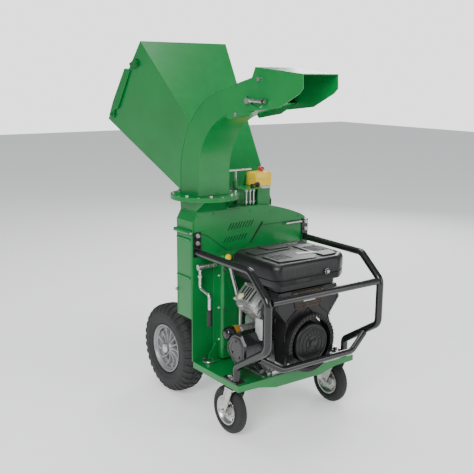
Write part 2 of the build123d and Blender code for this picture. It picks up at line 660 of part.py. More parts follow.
idler_r = 30.0
idler = (-84.0, 505.0)         # X, Z of the idler at rest, on the slack side
with BuildPart() as iarm:
    with BuildSketch(XZ(313)):
        with BuildLine():
            Polyline((arm_p[0] - 12, arm_p[1] + 8), (arm_p[0] + 8, arm_p[1] + 12), (idler[0] + 12, idler[1] + 8),
                     (idler[0] + 4, idler[1] - 12), (idler[0] - 10, idler[1] - 8), (arm_p[0] - 12, arm_p[1] - 8), close=True)
        make_face()
    extrude(amount=6)
    rod("Y", arm_p[0], 0, arm_p[1], 14, 307, 324.6)
    rod("Y", arm_p[0], 0, arm_p[1], 8.05, 300, 330, mode=Mode.SUBTRACT)
    rod("Y", idler[0], 0, idler[1], 6.0, 268, 309)
save(iarm, "idler_arm")

with BuildPart() as ipul:
    rod("Y", idler[0], 0, idler[1], idler_r, 272, 304)
    rod("Y", idler[0], 0, idler[1], 6.05, 260, 310, mode=Mode.SUBTRACT)
save(ipul, "idler_pulley")

with BuildPart() as lever:
    rod("X", 0, lev_y, lev_z, 6.0, -284, -190)
    rod("X", 0, lev_y, lev_z, 9.5, -252, -244)
    rod("X", 0, lev_y, lev_z, 9.5, -228, -214)
    rod("X", 0, lev_y, lev_z, 12, -302, -278)
    with BuildLine():
        FilletPolyline((-290, lev_y - YC, lev_z - 6), (-290, lev_y - YC, 566), (-290, 231 - YC, 552), (-290, 231 - YC, 424), radius=18)
    with BuildSketch(Plane(origin=(-290, lev_y - YC, lev_z - 6), z_dir=(0, 0, -1))):
        Circle(7)
    sweep()
    rod("Z", -290, lev_y, 0, 11, 612, 622)
save(lever, "tension_lever")

with BuildPart() as grip:
    rod("Z", -290, 231, 0, 11, 420, 490)
    fillet(grip.edges().filter_by(GeomType.CIRCLE), 3)
    rod("Z", -290, 231, 0, 7, 424, 495, mode=Mode.SUBTRACT)
save(grip, "lever_grip")

# ======================================================================================================
# Engine
# ======================================================================================================
with BuildPart() as case:
    with BuildSketch(XZ(225)):
        with BuildLine():
            Polyline((-112, 256), (112, 256), (112, 432.9), (40, 504.9), (-40, 504.9), (-112, 432.9), close=True)
        make_face()
    extrude(amount=205)
    fillet(case.edges().filter_by(Axis.Y).sort_by(Axis.Z)[:2], 9)
    block(-130, 130, 14, 231, deck_z + 0.1, 257)
    rod("Y", 0, 0, crank_z, 62, 225, 240)
    rod("Y", 0, 0, crank_z, 13.1, -60, 320, mode=Mode.SUBTRACT)
    rod("Y", 0, 0, crank_z, 36, 56, 84, mode=Mode.SUBTRACT)
    rod("Y", 0, 0, crank_z, 36, 146, 174, mode=Mode.SUBTRACT)
    # oil filter boss and filler neck
    rod("X", 0, 165, 398, 24, -184, -108)
    rod("Z", -122, 246, 0, 8, 250, 470)
    with BuildLine():
        Polyline((-122, 246 - YC, 466), (-186, 246 - YC, 684))
    with BuildSketch(Plane(origin=(-122, 246 - YC, 466), z_dir=(-64, 0, 218))):
        Circle(8)
    sweep()
    block(-130, -112, 238, 254, 250, 300)
    block(-130, -110, 220, 250, 251, 257)
save(case, "engine_crankcase")

with BuildPart() as cyl:
    for s, yc_ in ((-1, 92), (1, 122)):
        d = (s * math.sin(math.radians(45)), 0, math.cos(math.radians(45)))

        def cyl_plane(dist):
            return Plane(origin=(d[0] * dist, yc_ - YC, crank_z + d[2] * dist), x_dir=(0, 1, 0), z_dir=d)
        with BuildSketch(cyl_plane(118.1)) as sk:
            Circle(44)
        extrude(sk.sketch, amount=130)
        for i in range(9):
            with BuildSketch(cyl_plane(140 + i * 11)) as sk:
                RectangleRounded(124, 112, 14)
            extrude(sk.sketch, amount=4)
        with BuildSketch(cyl_plane(232)) as sk:
            RectangleRounded(120, 108, 10)
        extrude(sk.sketch, amount=24)
save(cyl, "engine_cylinders")

with BuildPart() as rock:
    for s, yc_ in ((-1, 92), (1, 122)):
        d = (s * math.sin(math.radians(45)), 0, math.cos(math.radians(45)))
        with BuildSketch(Plane(origin=(d[0] * 256.2, yc_ - YC, crank_z + d[2] * 256.2), x_dir=(0, 1, 0), z_dir=d)) as sk:
            RectangleRounded(112, 92, 16)
        extrude(sk.sketch, amount=26)
save(rock, "rocker_covers")

with BuildPart() as blow:
    with BuildSketch(XZ(14)):
        with BuildLine():
            Polyline((-118, 300), (-70, 262), (70, 262), (118, 300), (128, 420), (112, 470), (168, 540), (150, 600),
                     (-150, 600), (-168, 540), (-112, 470), (-128, 420), close=True)
        make_face()
    extrude(amount=60)
    rod("Y", 0, 0, crank_z, 122, -72, -46)
    with BuildSketch(XZ(16)):
        with BuildLine():
            Polyline((-112, 306), (-66, 270), (66, 270), (112, 306), (121, 420), (104, 470), (158, 540), (143, 594),
                     (-143, 594), (-158, 540), (-104, 470), (-121, 420), close=True)
        make_face()
    extrude(amount=56, mode=Mode.SUBTRACT)
    rod("Y", 0, 0, crank_z, 108, -80, 0, mode=Mode.SUBTRACT)
save(blow, "blower_housing")

with BuildPart() as screen:
    rod("Y", 0, 0, crank_z, 100, -36, -18)
    rod("Y", 0, 0, crank_z, 84, -78, -36)
    fillet(screen.edges().filter_by(GeomType.CIRCLE).sort_by(Axis.Y)[0], 12)
    for k in range(12):
        with BuildSketch(XZ(-2)) as sk:
            with Locations((0, crank_z)):
                with PolarLocations(82, 1, 30 * k):
                    Rectangle(32, 4)
        extrude(sk.sketch, amount=18)
    rod("Y", 0, 0, crank_z, 12.7, -60, 10, mode=Mode.SUBTRACT)
save(screen, "flywheel_screen")

with BuildPart() as abase:
    block(-150, 150, -40, 225, 604, 634)
    fillet(abase.edges().filter_by(Axis.Z), 20)
    block(-46, 46, 70, 160, 505.2, 606)
save(abase, "air_cleaner_base")

with BuildPart() as acov:
    with BuildSketch(XY(634.2)):
        with BuildLine():
            Polyline((-178, -86), (130, -86), (196, -34), (200, 60), (196, 236), (-150, 236), (-196, 200), (-205, 20),
                     (-200, -60), close=True)
        make_face()
    with BuildSketch(XY(716)):
        with BuildLine():
            Polyline((-176, -84), (130, -84), (194, -32), (198, 60), (194, 250), (-148, 250), (-192, 220), (-202, 20),
                     (-198, -58), close=True)
        make_face()
    loft()
    with BuildSketch(XY(716)):
        with BuildLine():
            Polyline((-176, -84), (130, -84), (194, -32), (198, 60), (194, 250), (-148, 250), (-192, 220), (-202, 20),
                     (-198, -58), close=True)
        make_face()
    with BuildSketch(XY(732)):
        with BuildLine():
            Polyline((-160, -68), (122, -68), (178, -24), (182, 60), (178, 236), (-140, 236), (-178, 206), (-186, 20),
                     (-182, -46), close=True)
        make_face()
    loft()
    block(-140, 140, -30, 215, 630, 708, mode=Mode.SUBTRACT)
    rod("Y", 56, 0, 672, 9.3, -100, -76, mode=Mode.SUBTRACT)
save(acov, "air_cleaner_cover")

with BuildPart() as knob:
    rod("Y", 56, 0, 672, 11, -97, -86.6)
    rod("Y", 56, 0, 672, 9.0, -86.6, -77)
save(knob, "cover_knob")

with BuildPart() as ofil:
    rod("X", 0, 165, 398, 28, -262, -184.2)
    fillet(ofil.edges().filter_by(GeomType.CIRCLE).sort_by(Axis.X)[0], 14)
save(ofil, "oil_filter")

with BuildPart() as muf:
    with BuildSketch(YZ(-262)):
        with BuildLine():
            Polyline((86, 284), (48, 292), (24, 330), (22, 388), (52, 424), (96, 424), (126, 404), (150, 366), (146, 330),
                     close=True)
        make_face()
    extrude(amount=118)
    chamfer(muf.faces().sort_by(Axis.X)[0].edges(), 7)
    block(-150, -112.4, 60, 110, 300, 340)
save(muf, "muffler")

with BuildPart() as cap:
    rod("Z", -187, 246, 0, 12, 686.8, 704)
    fillet(cap.edges().filter_by(GeomType.CIRCLE).sort_by(Axis.Z)[-1], 3)
save(cap, "filler_cap")

# ======================================================================================================
# Wheels and castors
# ======================================================================================================
for side, sname in ((-1, "left"), (1, "right")):
    xm = side * wheel_x
    wa = Axis((0, wheel_y - YC, wheel_r), (1, 0, 0))
    wp = Plane(origin=(xm, wheel_y - YC, wheel_r), x_dir=(1, 0, 0), z_dir=(0, -1, 0))
    with BuildPart() as tyre:
        with BuildSketch(wp):
            with BuildLine():
                Polyline((-44, 110.1), (-54, 128), (-56, 150), (-50, 180), (-38, 197), (-20, wheel_r), (20, wheel_r),
                         (38, 197), (50, 180), (56, 150), (54, 128), (44, 110.1), (34, 110.1), (45, 130), (48, 150),
                         (42, 174), (31, 190), (16, 195), (-16, 195), (-31, 190), (-42, 174), (-48, 150), (-45, 130),
                         (-34, 110.1), close=True)
            make_face()
        revolve(axis=wa)
    save(tyre, "tyre_%s" % sname)
    with BuildPart() as rim:
        with BuildSketch(wp):
            with BuildLine():
                Polyline((-48, 109.9), (48, 109.9), (48, 103), (34, 98), (-34, 98), (-48, 103), close=True)
            make_face()
        revolve(axis=wa)
        with BuildSketch(wp):
            with BuildLine():
                Polyline((-7 + side * 14, 99), (7 + side * 14, 99), (5 + side * 30, 30), (-9 + side * 30, 30), close=True)
            make_face()
        revolve(axis=wa)
        rod("X", 0, wheel_y, wheel_r, 32, xm - 42, xm + 42)
        for k in range(12):
            t = math.radians(30 * k + 15)
            with Locations((xm + side * 22, wheel_y - YC + 72 * math.cos(t), wheel_r + 72 * math.sin(t))):
                Cylinder(13.5, 80, rotation=(0, 90, 0), mode=Mode.SUBTRACT)
        rod("X", 0, wheel_y, wheel_r, 12.56, xm - 60, xm + 60, mode=Mode.SUBTRACT)
    save(rim, "rim_%s" % sname)

    cxm = side * castor_x
    cyw = castor_y + castor_trail
    with BuildPart() as fork:
        rod("Z", cxm, castor_y, 0, 26, 209, 224.6)
        for e in (-1, 1):
            xa, xb = sorted((cxm + e * 33, cxm + e * 37))
            with BuildSketch(YZ(xa)) as sk:
                with BuildLine():
                    Polyline((castor_y - 22, 209), (castor_y + 28, 209), (cyw + 18, 106), (cyw + 12, 86), (cyw - 12, 86),
                             (cyw - 20, 110), close=True)
                make_face()
            extrude(sk.sketch, amount=4)
        block(cxm - 37, cxm + 37, castor_y - 24, castor_y + 30, 205, 210)
        rod("X", 0, cyw, castor_r, 6.0, cxm - 42, cxm + 42)
        for e in (-1, 1):
            a, b = sorted((cxm + e * 37, cxm + e * 43))
            hexhead("X", 0, cyw, castor_r, 10, a, b)
    save(fork, "castor_fork_%s" % sname)
    cp = Plane(origin=(cxm, cyw - YC, castor_r), x_dir=(1, 0, 0), z_dir=(0, -1, 0))
    ca = Axis((0, cyw - YC, castor_r), (1, 0, 0))
    with BuildPart() as ctyre:
        with BuildSketch(cp):
            with BuildLine():
                Polyline((-18, 60), (-25, 68), (-25, 84), (-17, 97), (-8, castor_r), (8, castor_r), (17, 97), (25, 84),
                         (25, 68), (18, 60), close=True)
            make_face()
        revolve(axis=ca)
    save(ctyre, "castor_tyre_%s" % sname)
    with BuildPart() as crim:
        with BuildSketch(cp):
            with BuildLine():
                Polyline((-21, 59.9), (21, 59.9), (21, 55), (6, 50), (4, 24), (26, 20), (26, 0), (-26, 0), (-26, 20), (-4, 24),
                         (-6, 50), (-21, 55), close=True)
            make_face()
        revolve(axis=ca)
        for k in range(6):
            t = math.radians(60 * k)
            with Locations((cxm, cyw - YC + 38 * math.cos(t), castor_r + 38 * math.sin(t))):
                Cylinder(6, 40, rotation=(0, 90, 0), mode=Mode.SUBTRACT)
        rod("X", 0, cyw, castor_r, 6.06, cxm - 60, cxm + 60, mode=Mode.SUBTRACT)
    save(crim, "castor_rim_%s" % sname)
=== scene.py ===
import math
import bmesh
import bpy
from mathutils import Matrix, Vector


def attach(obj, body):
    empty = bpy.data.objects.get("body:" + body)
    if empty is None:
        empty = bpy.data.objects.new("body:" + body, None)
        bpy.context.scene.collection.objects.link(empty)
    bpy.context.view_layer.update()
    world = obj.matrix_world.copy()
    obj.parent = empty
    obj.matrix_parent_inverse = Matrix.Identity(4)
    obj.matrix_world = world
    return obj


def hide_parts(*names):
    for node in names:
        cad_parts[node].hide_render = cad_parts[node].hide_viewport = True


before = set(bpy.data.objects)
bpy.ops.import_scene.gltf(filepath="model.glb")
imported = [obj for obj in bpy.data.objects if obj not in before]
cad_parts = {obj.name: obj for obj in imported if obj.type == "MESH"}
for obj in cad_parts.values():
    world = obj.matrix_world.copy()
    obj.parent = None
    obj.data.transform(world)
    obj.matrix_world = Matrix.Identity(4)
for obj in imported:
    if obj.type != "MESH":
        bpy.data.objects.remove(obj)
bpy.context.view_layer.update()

YC = 534.56


def V(x, y, z):
    """Layout millimetres to the row frame in metres."""
    return Vector((x / 1000.0, (y - YC) / 1000.0, z / 1000.0))


# ---- camera --------------------------------------------------------------------------------------------
yaw, pitch, roll = 0.6298, -0.2097, 0.0086
d = Vector((math.sin(yaw) * math.cos(pitch), math.cos(yaw) * math.cos(pitch), math.sin(pitch)))
r0 = d.cross(Vector((0, 0, 1))).normalized()
u0 = r0.cross(d).normalized()
right = math.cos(roll) * r0 + math.sin(roll) * u0
up = -math.sin(roll) * r0 + math.cos(roll) * u0
cam_data = bpy.data.cameras.new("cam")
cam = bpy.data.objects.new("cam", cam_data)
bpy.context.scene.collection.objects.link(cam)
m = Matrix.Identity(4)
for i in range(3):
    m[i][0], m[i][1], m[i][2] = right[i], up[i], -d[i]
m.translation = V(-1968.26, -2257.81, 1434.09)
cam.matrix_world = m
cam_data.sensor_width = 36.0
cam_data.lens = 765.75 * 36.0 / 474.0
cam_data.clip_start = 0.05
cam_data.clip_end = 60.0
bpy.context.scene.camera = cam


# ---- materials -----------------------------------------------------------------------------------------
def material(name, base, dark, rough, metal=0.0, scale=12.0, fine=260.0, bump=0.15, coat=0.0, rough_var=0.12,
             dirt=None, dirt_amount=0.0, spec=0.5, stretch=None, alpha=None):
    """Layered surface: broad tone drift, fine speckle, dust in the low spots, matching roughness and bump."""
    mat = bpy.data.materials.new(name)
    mat.use_nodes = True
    nt = mat.node_tree
    N, L = nt.nodes, nt.links
    N.clear()
    out = N.new("ShaderNodeOutputMaterial")
    b = N.new("ShaderNodeBsdfPrincipled")
    L.new(b.outputs[0], out.inputs[0])
    tc = N.new("ShaderNodeTexCoord")
    mp = N.new("ShaderNodeMapping")
    mp.inputs["Scale"].default_value = stretch or (1, 1, 1)
    L.new(tc.outputs["Object"], mp.inputs[0])

    def noise(sc, detail=4.0, ro=0.55):
        n = N.new("ShaderNodeTexNoise")
        n.inputs["Scale"].default_value = sc
        n.inputs["Detail"].default_value = detail
        n.inputs["Roughness"].default_value = ro
        L.new(mp.outputs[0], n.inputs["Vector"])
        return n
    big, mid, small = noise(scale), noise(scale * 5, 5), noise(fine, 3)
    ramp = N.new("ShaderNodeValToRGB")
    ramp.color_ramp.elements[0].position = 0.32
    ramp.color_ramp.elements[1].position = 0.68
    ramp.color_ramp.elements[0].color = (*dark, 1)
    ramp.color_ramp.elements[1].color = (*base, 1)
    L.new(big.outputs["Fac"], ramp.inputs[0])
    col = ramp.outputs[0]
    mx = N.new("ShaderNodeMix")
    mx.data_type = "RGBA"
    mx.blend_type = "MULTIPLY"
    mx.inputs[0].default_value = 0.35
    sr = N.new("ShaderNodeValToRGB")
    sr.color_ramp.elements[0].position = 0.35
    sr.color_ramp.elements[0].color = (0.75, 0.75, 0.75, 1)
    sr.color_ramp.elements[1].position = 0.6
    sr.color_ramp.elements[1].color = (1, 1, 1, 1)
    L.new(small.outputs["Fac"], sr.inputs[0])
    L.new(col, mx.inputs[6])
    L.new(sr.outputs[0], mx.inputs[7])
    col = mx.outputs[2]
    if dirt:
        dm = N.new("ShaderNodeMix")
        dm.data_type = "RGBA"
        dr = N.new("ShaderNodeMapRange")
        dr.inputs["From Min"].default_value = 0.52
        dr.inputs["From Max"].default_value = 0.78
        dr.inputs["To Max"].default_value = dirt_amount
        L.new(mid.outputs["Fac"], dr.inputs[0])
        L.new(dr.outputs[0], dm.inputs[0])
        L.new(col, dm.inputs[6])
        dm.inputs[7].default_value = (*dirt, 1)
        col = dm.outputs[2]
    L.new(col, b.inputs["Base Color"])
    rr = N.new("ShaderNodeMapRange")
    rr.inputs["To Min"].default_value = max(0.03, rough - rough_var)
    rr.inputs["To Max"].default_value = min(1.0, rough + rough_var)
    L.new(mid.outputs["Fac"], rr.inputs[0])
    L.new(rr.outputs[0], b.inputs["Roughness"])
    b.inputs["Metallic"].default_value = metal
    b.inputs["Specular IOR Level"].default_value = spec
    if coat:
        b.inputs["Coat Weight"].default_value = coat
        b.inputs["Coat Roughness"].default_value = 0.12
    bp = N.new("ShaderNodeBump")
    bp.inputs["Strength"].default_value = bump
    bp.inputs["Distance"].default_value = 0.0006
    L.new(small.outputs["Fac"], bp.inputs["Height"])
    bp2 = N.new("ShaderNodeBump")
    bp2.inputs["Strength"].default_value = bump * 0.6
    bp2.inputs["Distance"].default_value = 0.002
    L.new(mid.outputs["Fac"], bp2.inputs["Height"])
    L.new(bp.outputs[0], bp2.inputs["Normal"])
    L.new(bp2.outputs[0], b.inputs["Normal"])
    return mat


M = {}
M["green"] = material("green_paint", (0.003, 0.195, 0.038), (0.002, 0.165, 0.031), 0.32, 0.0, 5.0, 420.0, 0.10, 0.12,
                      0.07, (0.012, 0.225, 0.055), 0.25, 0.4)
M["dgreen"] = material("green_frame_paint", (0.003, 0.14, 0.026), (0.002, 0.11, 0.020), 0.38, 0.0, 6.0, 420.0, 0.12, 0.1,
                       0.08, (0.01, 0.16, 0.035), 0.25, 0.35)
M["black"] = material("black_powder_coat", (0.009, 0.009, 0.010), (0.006, 0.006, 0.007), 0.24, 0.0, 7.0, 300.0, 0.05, 0.25,
                      0.05, (0.014, 0.014, 0.014), 0.15, 0.45)
M["zinc"] = material("zinc_plated", (0.62, 0.62, 0.60), (0.48, 0.48, 0.47), 0.30, 1.0, 30.0, 500.0, 0.10, 0.0, 0.12,
                     (0.40, 0.38, 0.33), 0.35)
M["steel"] = material("machined_steel", (0.52, 0.52, 0.53), (0.38, 0.38, 0.39), 0.28, 1.0, 24.0, 700.0, 0.10, 0.0, 0.10,
                      (0.25, 0.22, 0.18), 0.3, stretch=(1, 6, 1))
M["cast"] = material("cast_iron", (0.16, 0.16, 0.165), (0.10, 0.10, 0.105), 0.6, 0.75, 22.0, 380.0, 0.5, 0.0, 0.12,
                     (0.12, 0.07, 0.04), 0.35)
M["alu"] = material("die_cast_aluminium", (0.66, 0.66, 0.65), (0.46, 0.46, 0.46), 0.38, 0.85, 26.0, 420.0, 0.35, 0.0, 0.12,
                    (0.16, 0.15, 0.13), 0.45)
M["plastic"] = material("black_grained_plastic", (0.010, 0.010, 0.011), (0.007, 0.007, 0.008), 0.38, 0.0, 8.0, 900.0, 0.4,
                        0.0, 0.08, (0.03, 0.03, 0.03), 0.2, 0.4)
M["plastic2"] = material("dark_grey_plastic", (0.020, 0.020, 0.021), (0.014, 0.014, 0.015), 0.42, 0.0, 9.0, 900.0, 0.35, 0.0,
                         0.08, (0.045, 0.045, 0.045), 0.2, 0.45)
M["rim"] = material("silver_grey_rim", (0.33, 0.335, 0.345), (0.26, 0.265, 0.275), 0.42, 0.35, 14.0, 500.0, 0.2, 0.1, 0.1,
                    (0.16, 0.15, 0.14), 0.35)
M["yellow"] = material("yellow_plastic", (0.90, 0.60, 0.002), (0.80, 0.52, 0.002), 0.34, 0.0, 12.0, 500.0, 0.12, 0.2, 0.08,
                       (0.7, 0.42, 0.03), 0.15)
M["red"] = material("red_plastic", (0.66, 0.025, 0.015), (0.52, 0.018, 0.012), 0.28, 0.0, 20.0, 500.0, 0.1, 0.4, 0.06,
                    (0.5, 0.06, 0.05), 0.15)
M["tyre"] = material("tyre_rubber", (0.017, 0.017, 0.018), (0.011, 0.011, 0.012), 0.68, 0.0, 16.0, 500.0, 0.5, 0.0, 0.1,
                     (0.040, 0.037, 0.033), 0.4)
M["rubber"] = material("moulded_rubber", (0.014, 0.014, 0.015), (0.010, 0.010, 0.011), 0.58, 0.0, 20.0, 600.0, 0.35, 0.0,
                       0.1, (0.06, 0.056, 0.05), 0.35)
M["amber"] = material("amber_plastic", (0.42, 0.23, 0.02), (0.34, 0.17, 0.012), 0.3, 0.0, 20.0, 500.0, 0.1, 0.4, 0.08,
                      (0.3, 0.2, 0.08), 0.2)
M["grey"] = material("light_grey_plastic", (0.52, 0.53, 0.53), (0.44, 0.45, 0.45), 0.45, 0.0, 16.0, 600.0, 0.15, 0.0, 0.08,
                     (0.35, 0.34, 0.32), 0.2)
M["cream"] = material("cream_plastic", (0.72, 0.62, 0.33), (0.62, 0.52, 0.26), 0.4, 0.0, 18.0, 500.0, 0.12, 0.1, 0.08,
                      (0.45, 0.38, 0.22), 0.2)
M["dark"] = material("shadow_black", (0.006, 0.007, 0.006), (0.004, 0.004, 0.004), 0.8, 0.0, 20.0, 400.0, 0.2)
M["brass"] = material("copper_brown_mesh", (0.10, 0.06, 0.035), (0.05, 0.032, 0.02), 0.6, 0.3, 30.0, 300.0, 0.4, 0.0, 0.1,
                      (0.02, 0.02, 0.02), 0.6)


# ---- mesh tools ----------------------------------------------------------------------------------------
AX = {"X": Vector((1, 0, 0)), "Y": Vector((0, 1, 0)), "Z": Vector((0, 0, 1))}


def frame_of(z):
    z = z.normalized()
    a = Vector((0, 0, 1)) if abs(z.z) < 0.9 else Vector((1, 0, 0))
    x = a.cross(z).normalized()
    return x, z.cross(x).normalized(), z


class Geo:
    def __init__(self):
        self.bm = bmesh.new()

    def face(self, vs):
        try:
            return self.bm.faces.new(vs)
        except ValueError:
            return None

    def loft(self, rings, cap=True, closed=False):
        """rings: lists of row-frame points, same count; joined round and along."""
        vr = [[self.bm.verts.new(p) for p in r] for r in rings]
        n = len(vr[0])
        pairs = list(zip(vr, vr[1:])) + ([(vr[-1], vr[0])] if closed else [])
        for a, b in pairs:
            for i in range(n):
                j = (i + 1) % n
                self.face((a[i], a[j], b[j], b[i]))
        if cap and not closed:
            self.face(list(reversed(vr[0])))
            self.face(vr[-1])

    def box(self, x0, x1, y0, y1, z0, z1):
        self.loft([[V(x0, y0, z), V(x1, y0, z), V(x1, y1, z), V(x0, y1, z)] for z in (z0, z1)])

    def obox(self, c, ex, ey, ez, hx, hy, hz):
        """Box about layout point c, with half sizes along three unit vectors."""
        c = V(*c)
        q = []
        for s in (-1, 1):
            q.append([c + (a * hx * ex + b * hy * ey + s * hz * ez) / 1000.0
                      for a, b in ((-1, -1), (1, -1), (1, 1), (-1, 1))])
        self.loft(q)

    def circ(self, p, axis, r, seg, ph=0.0):
        x, y, _ = frame_of(axis)
        return [p + (x * math.cos(t) + y * math.sin(t)) * r / 1000.0
                for t in (ph + 2 * math.pi * k / seg for k in range(seg))]

    def cyl(self, a, b, r, r2=None, seg=32, ph=0.0):
        a, b = V(*a), V(*b)
        ax = b - a
        self.loft([self.circ(a, ax, r, seg, ph), self.circ(b, ax, r if r2 is None else r2, seg, ph)])

    def lathe(self, c, axis, prof, seg=64, closed=True):
        """prof: (along, radius) pairs; closed makes a ring section, otherwise ends are capped."""
        c, ax = V(*c), AX[axis]
        rings = [self.circ(c + ax * s / 1000.0, ax, max(r, 0.01), seg) for s, r in prof]
        self.loft(rings, cap=not closed, closed=closed)

    def hexbolt(self, p, axis, r=7.0, h=6.0, washer=1.6, seg=6):
        """Head with washer standing on p along axis."""
        p0 = V(*p)
        ax = axis.normalized()
        q = p0 + ax * washer / 1000.0
        self.loft([self.circ(p0, ax, r * 1.35, 28), self.circ(q, ax, r * 1.35, 28)])
        e = q + ax * h * 0.82 / 1000.0
        f = q + ax * h / 1000.0
        self.loft([self.circ(q, ax, r, 6), self.circ(e, ax, r, 6), self.circ(f, ax, r * 0.82, 6)])

    def tube(self, pts, r, seg=20, rad=12.0):
        """Round bar through layout points with rounded corners."""
        P = [Vector(p) for p in pts]
        path = [P[0]]
        for i in range(1, len(P) - 1):
            a, b, c = P[i - 1], P[i], P[i + 1]
            u, w = (a - b), (c - b)
            k = min(rad, u.length * 0.45, w.length * 0.45)
            s, e = b + u.normalized() * k, b + w.normalized() * k
            for j in range(7):
                t = j / 6
                path.append((1 - t) ** 2 * s + 2 * t * (1 - t) * b + t * t * e)
        path.append(P[-1])
        x = None
        rings = []
        for i, p in enumerate(path):
            t = (path[min(i + 1, len(path) - 1)] - path[max(i - 1, 0)]).normalized()
            if x is None:
                x = frame_of(t)[0]
            x = (x - t * x.dot(t)).normalized()
            y = t.cross(x)
            c = V(*p)
            rings.append([c + (x * math.cos(q) + y * math.sin(q)) * r / 1000.0
                          for q in (2 * math.pi * k / seg for k in range(seg))])
        self.loft(rings)

    def prism(self, plane, pts, a, b):
        """Polygon in a layout plane, from a to b along the third axis."""
        def q(u, v, w):
            return {"YZ": V(w, u, v), "XZ": V(u, w, v), "XY": V(u, v, w)}[plane]
        self.loft([[q(u, v, a) for u, v in pts], [q(u, v, b) for u, v in pts]])

    def done(self, name, body, mat, bevel=0.0, angle=38, seg=2, stands_for=()):
        bmesh.ops.remove_doubles(self.bm, verts=self.bm.verts, dist=1e-6)
        bmesh.ops.recalc_face_normals(self.bm, faces=self.bm.faces)
        me = bpy.data.meshes.new(name)
        self.bm.to_mesh(me)
        self.bm.free()
        ob = bpy.data.objects.new(name, me)
        bpy.context.scene.collection.objects.link(ob)
        me.polygons.foreach_set("use_smooth", [True] * len(me.polygons))
        me.set_sharp_from_angle(angle=math.radians(angle))
        if bevel:
            bv = ob.modifiers.new("bevel", "BEVEL")
            bv.width = bevel / 1000.0
            bv.segments = seg
            bv.limit_method = "ANGLE"
            bv.angle_limit = math.radians(40)
            bv.harden_normals = True
        me.materials.append(M[mat])
        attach(ob, body)
        if stands_for:
            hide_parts(*stands_for)
        return ob


# ---- CAD nodes that stay visible ----------------------------------------------------------------------
CAD = {
    "green": ["deck", "bulkhead_plate", "housing_lower", "belt_guard", "hopper", "hopper_throat", "feed_tray",
              "housing_upper", "cover_panel", "control_bracket", "chute", "hood"],
    "dgreen": ["chassis_rails", "axle_beam", "hopper_brackets"],
    "black": ["bumper_side_left", "bumper_side_right", "bumper_crossbars", "muffler"],
    "zinc": ["frame_fasteners", "lashing_ring", "cover_handle", "lift_bar", "chute_fasteners", "clamp_lever",
             "tension_lever", "castor_fork_left", "castor_fork_right"],
    "steel": ["anvil_knife", "rotor_knives", "rotor_shaft", "crankshaft"],
    "cast": ["rotor_bearings", "rotor_disc", "rotor_pulley", "idler_arm", "idler_pulley"],
    "rubber": ["drive_belts", "lever_grip"],
    "alu": ["engine_crankcase", "rocker_covers"],
    "plastic": ["blower_housing", "flywheel_screen", "air_cleaner_base", "latch_lever", "cover_knob"],
    "yellow": ["filler_cap"],
}
for mat, names in CAD.items():
    for nm in names:
        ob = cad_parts[nm]
        ob.data.materials.clear()
        ob.data.materials.append(M[mat])
        ob.data.polygons.foreach_set("use_smooth", [True] * len(ob.data.polygons))
        ob.data.set_sharp_from_angle(angle=math.radians(32))

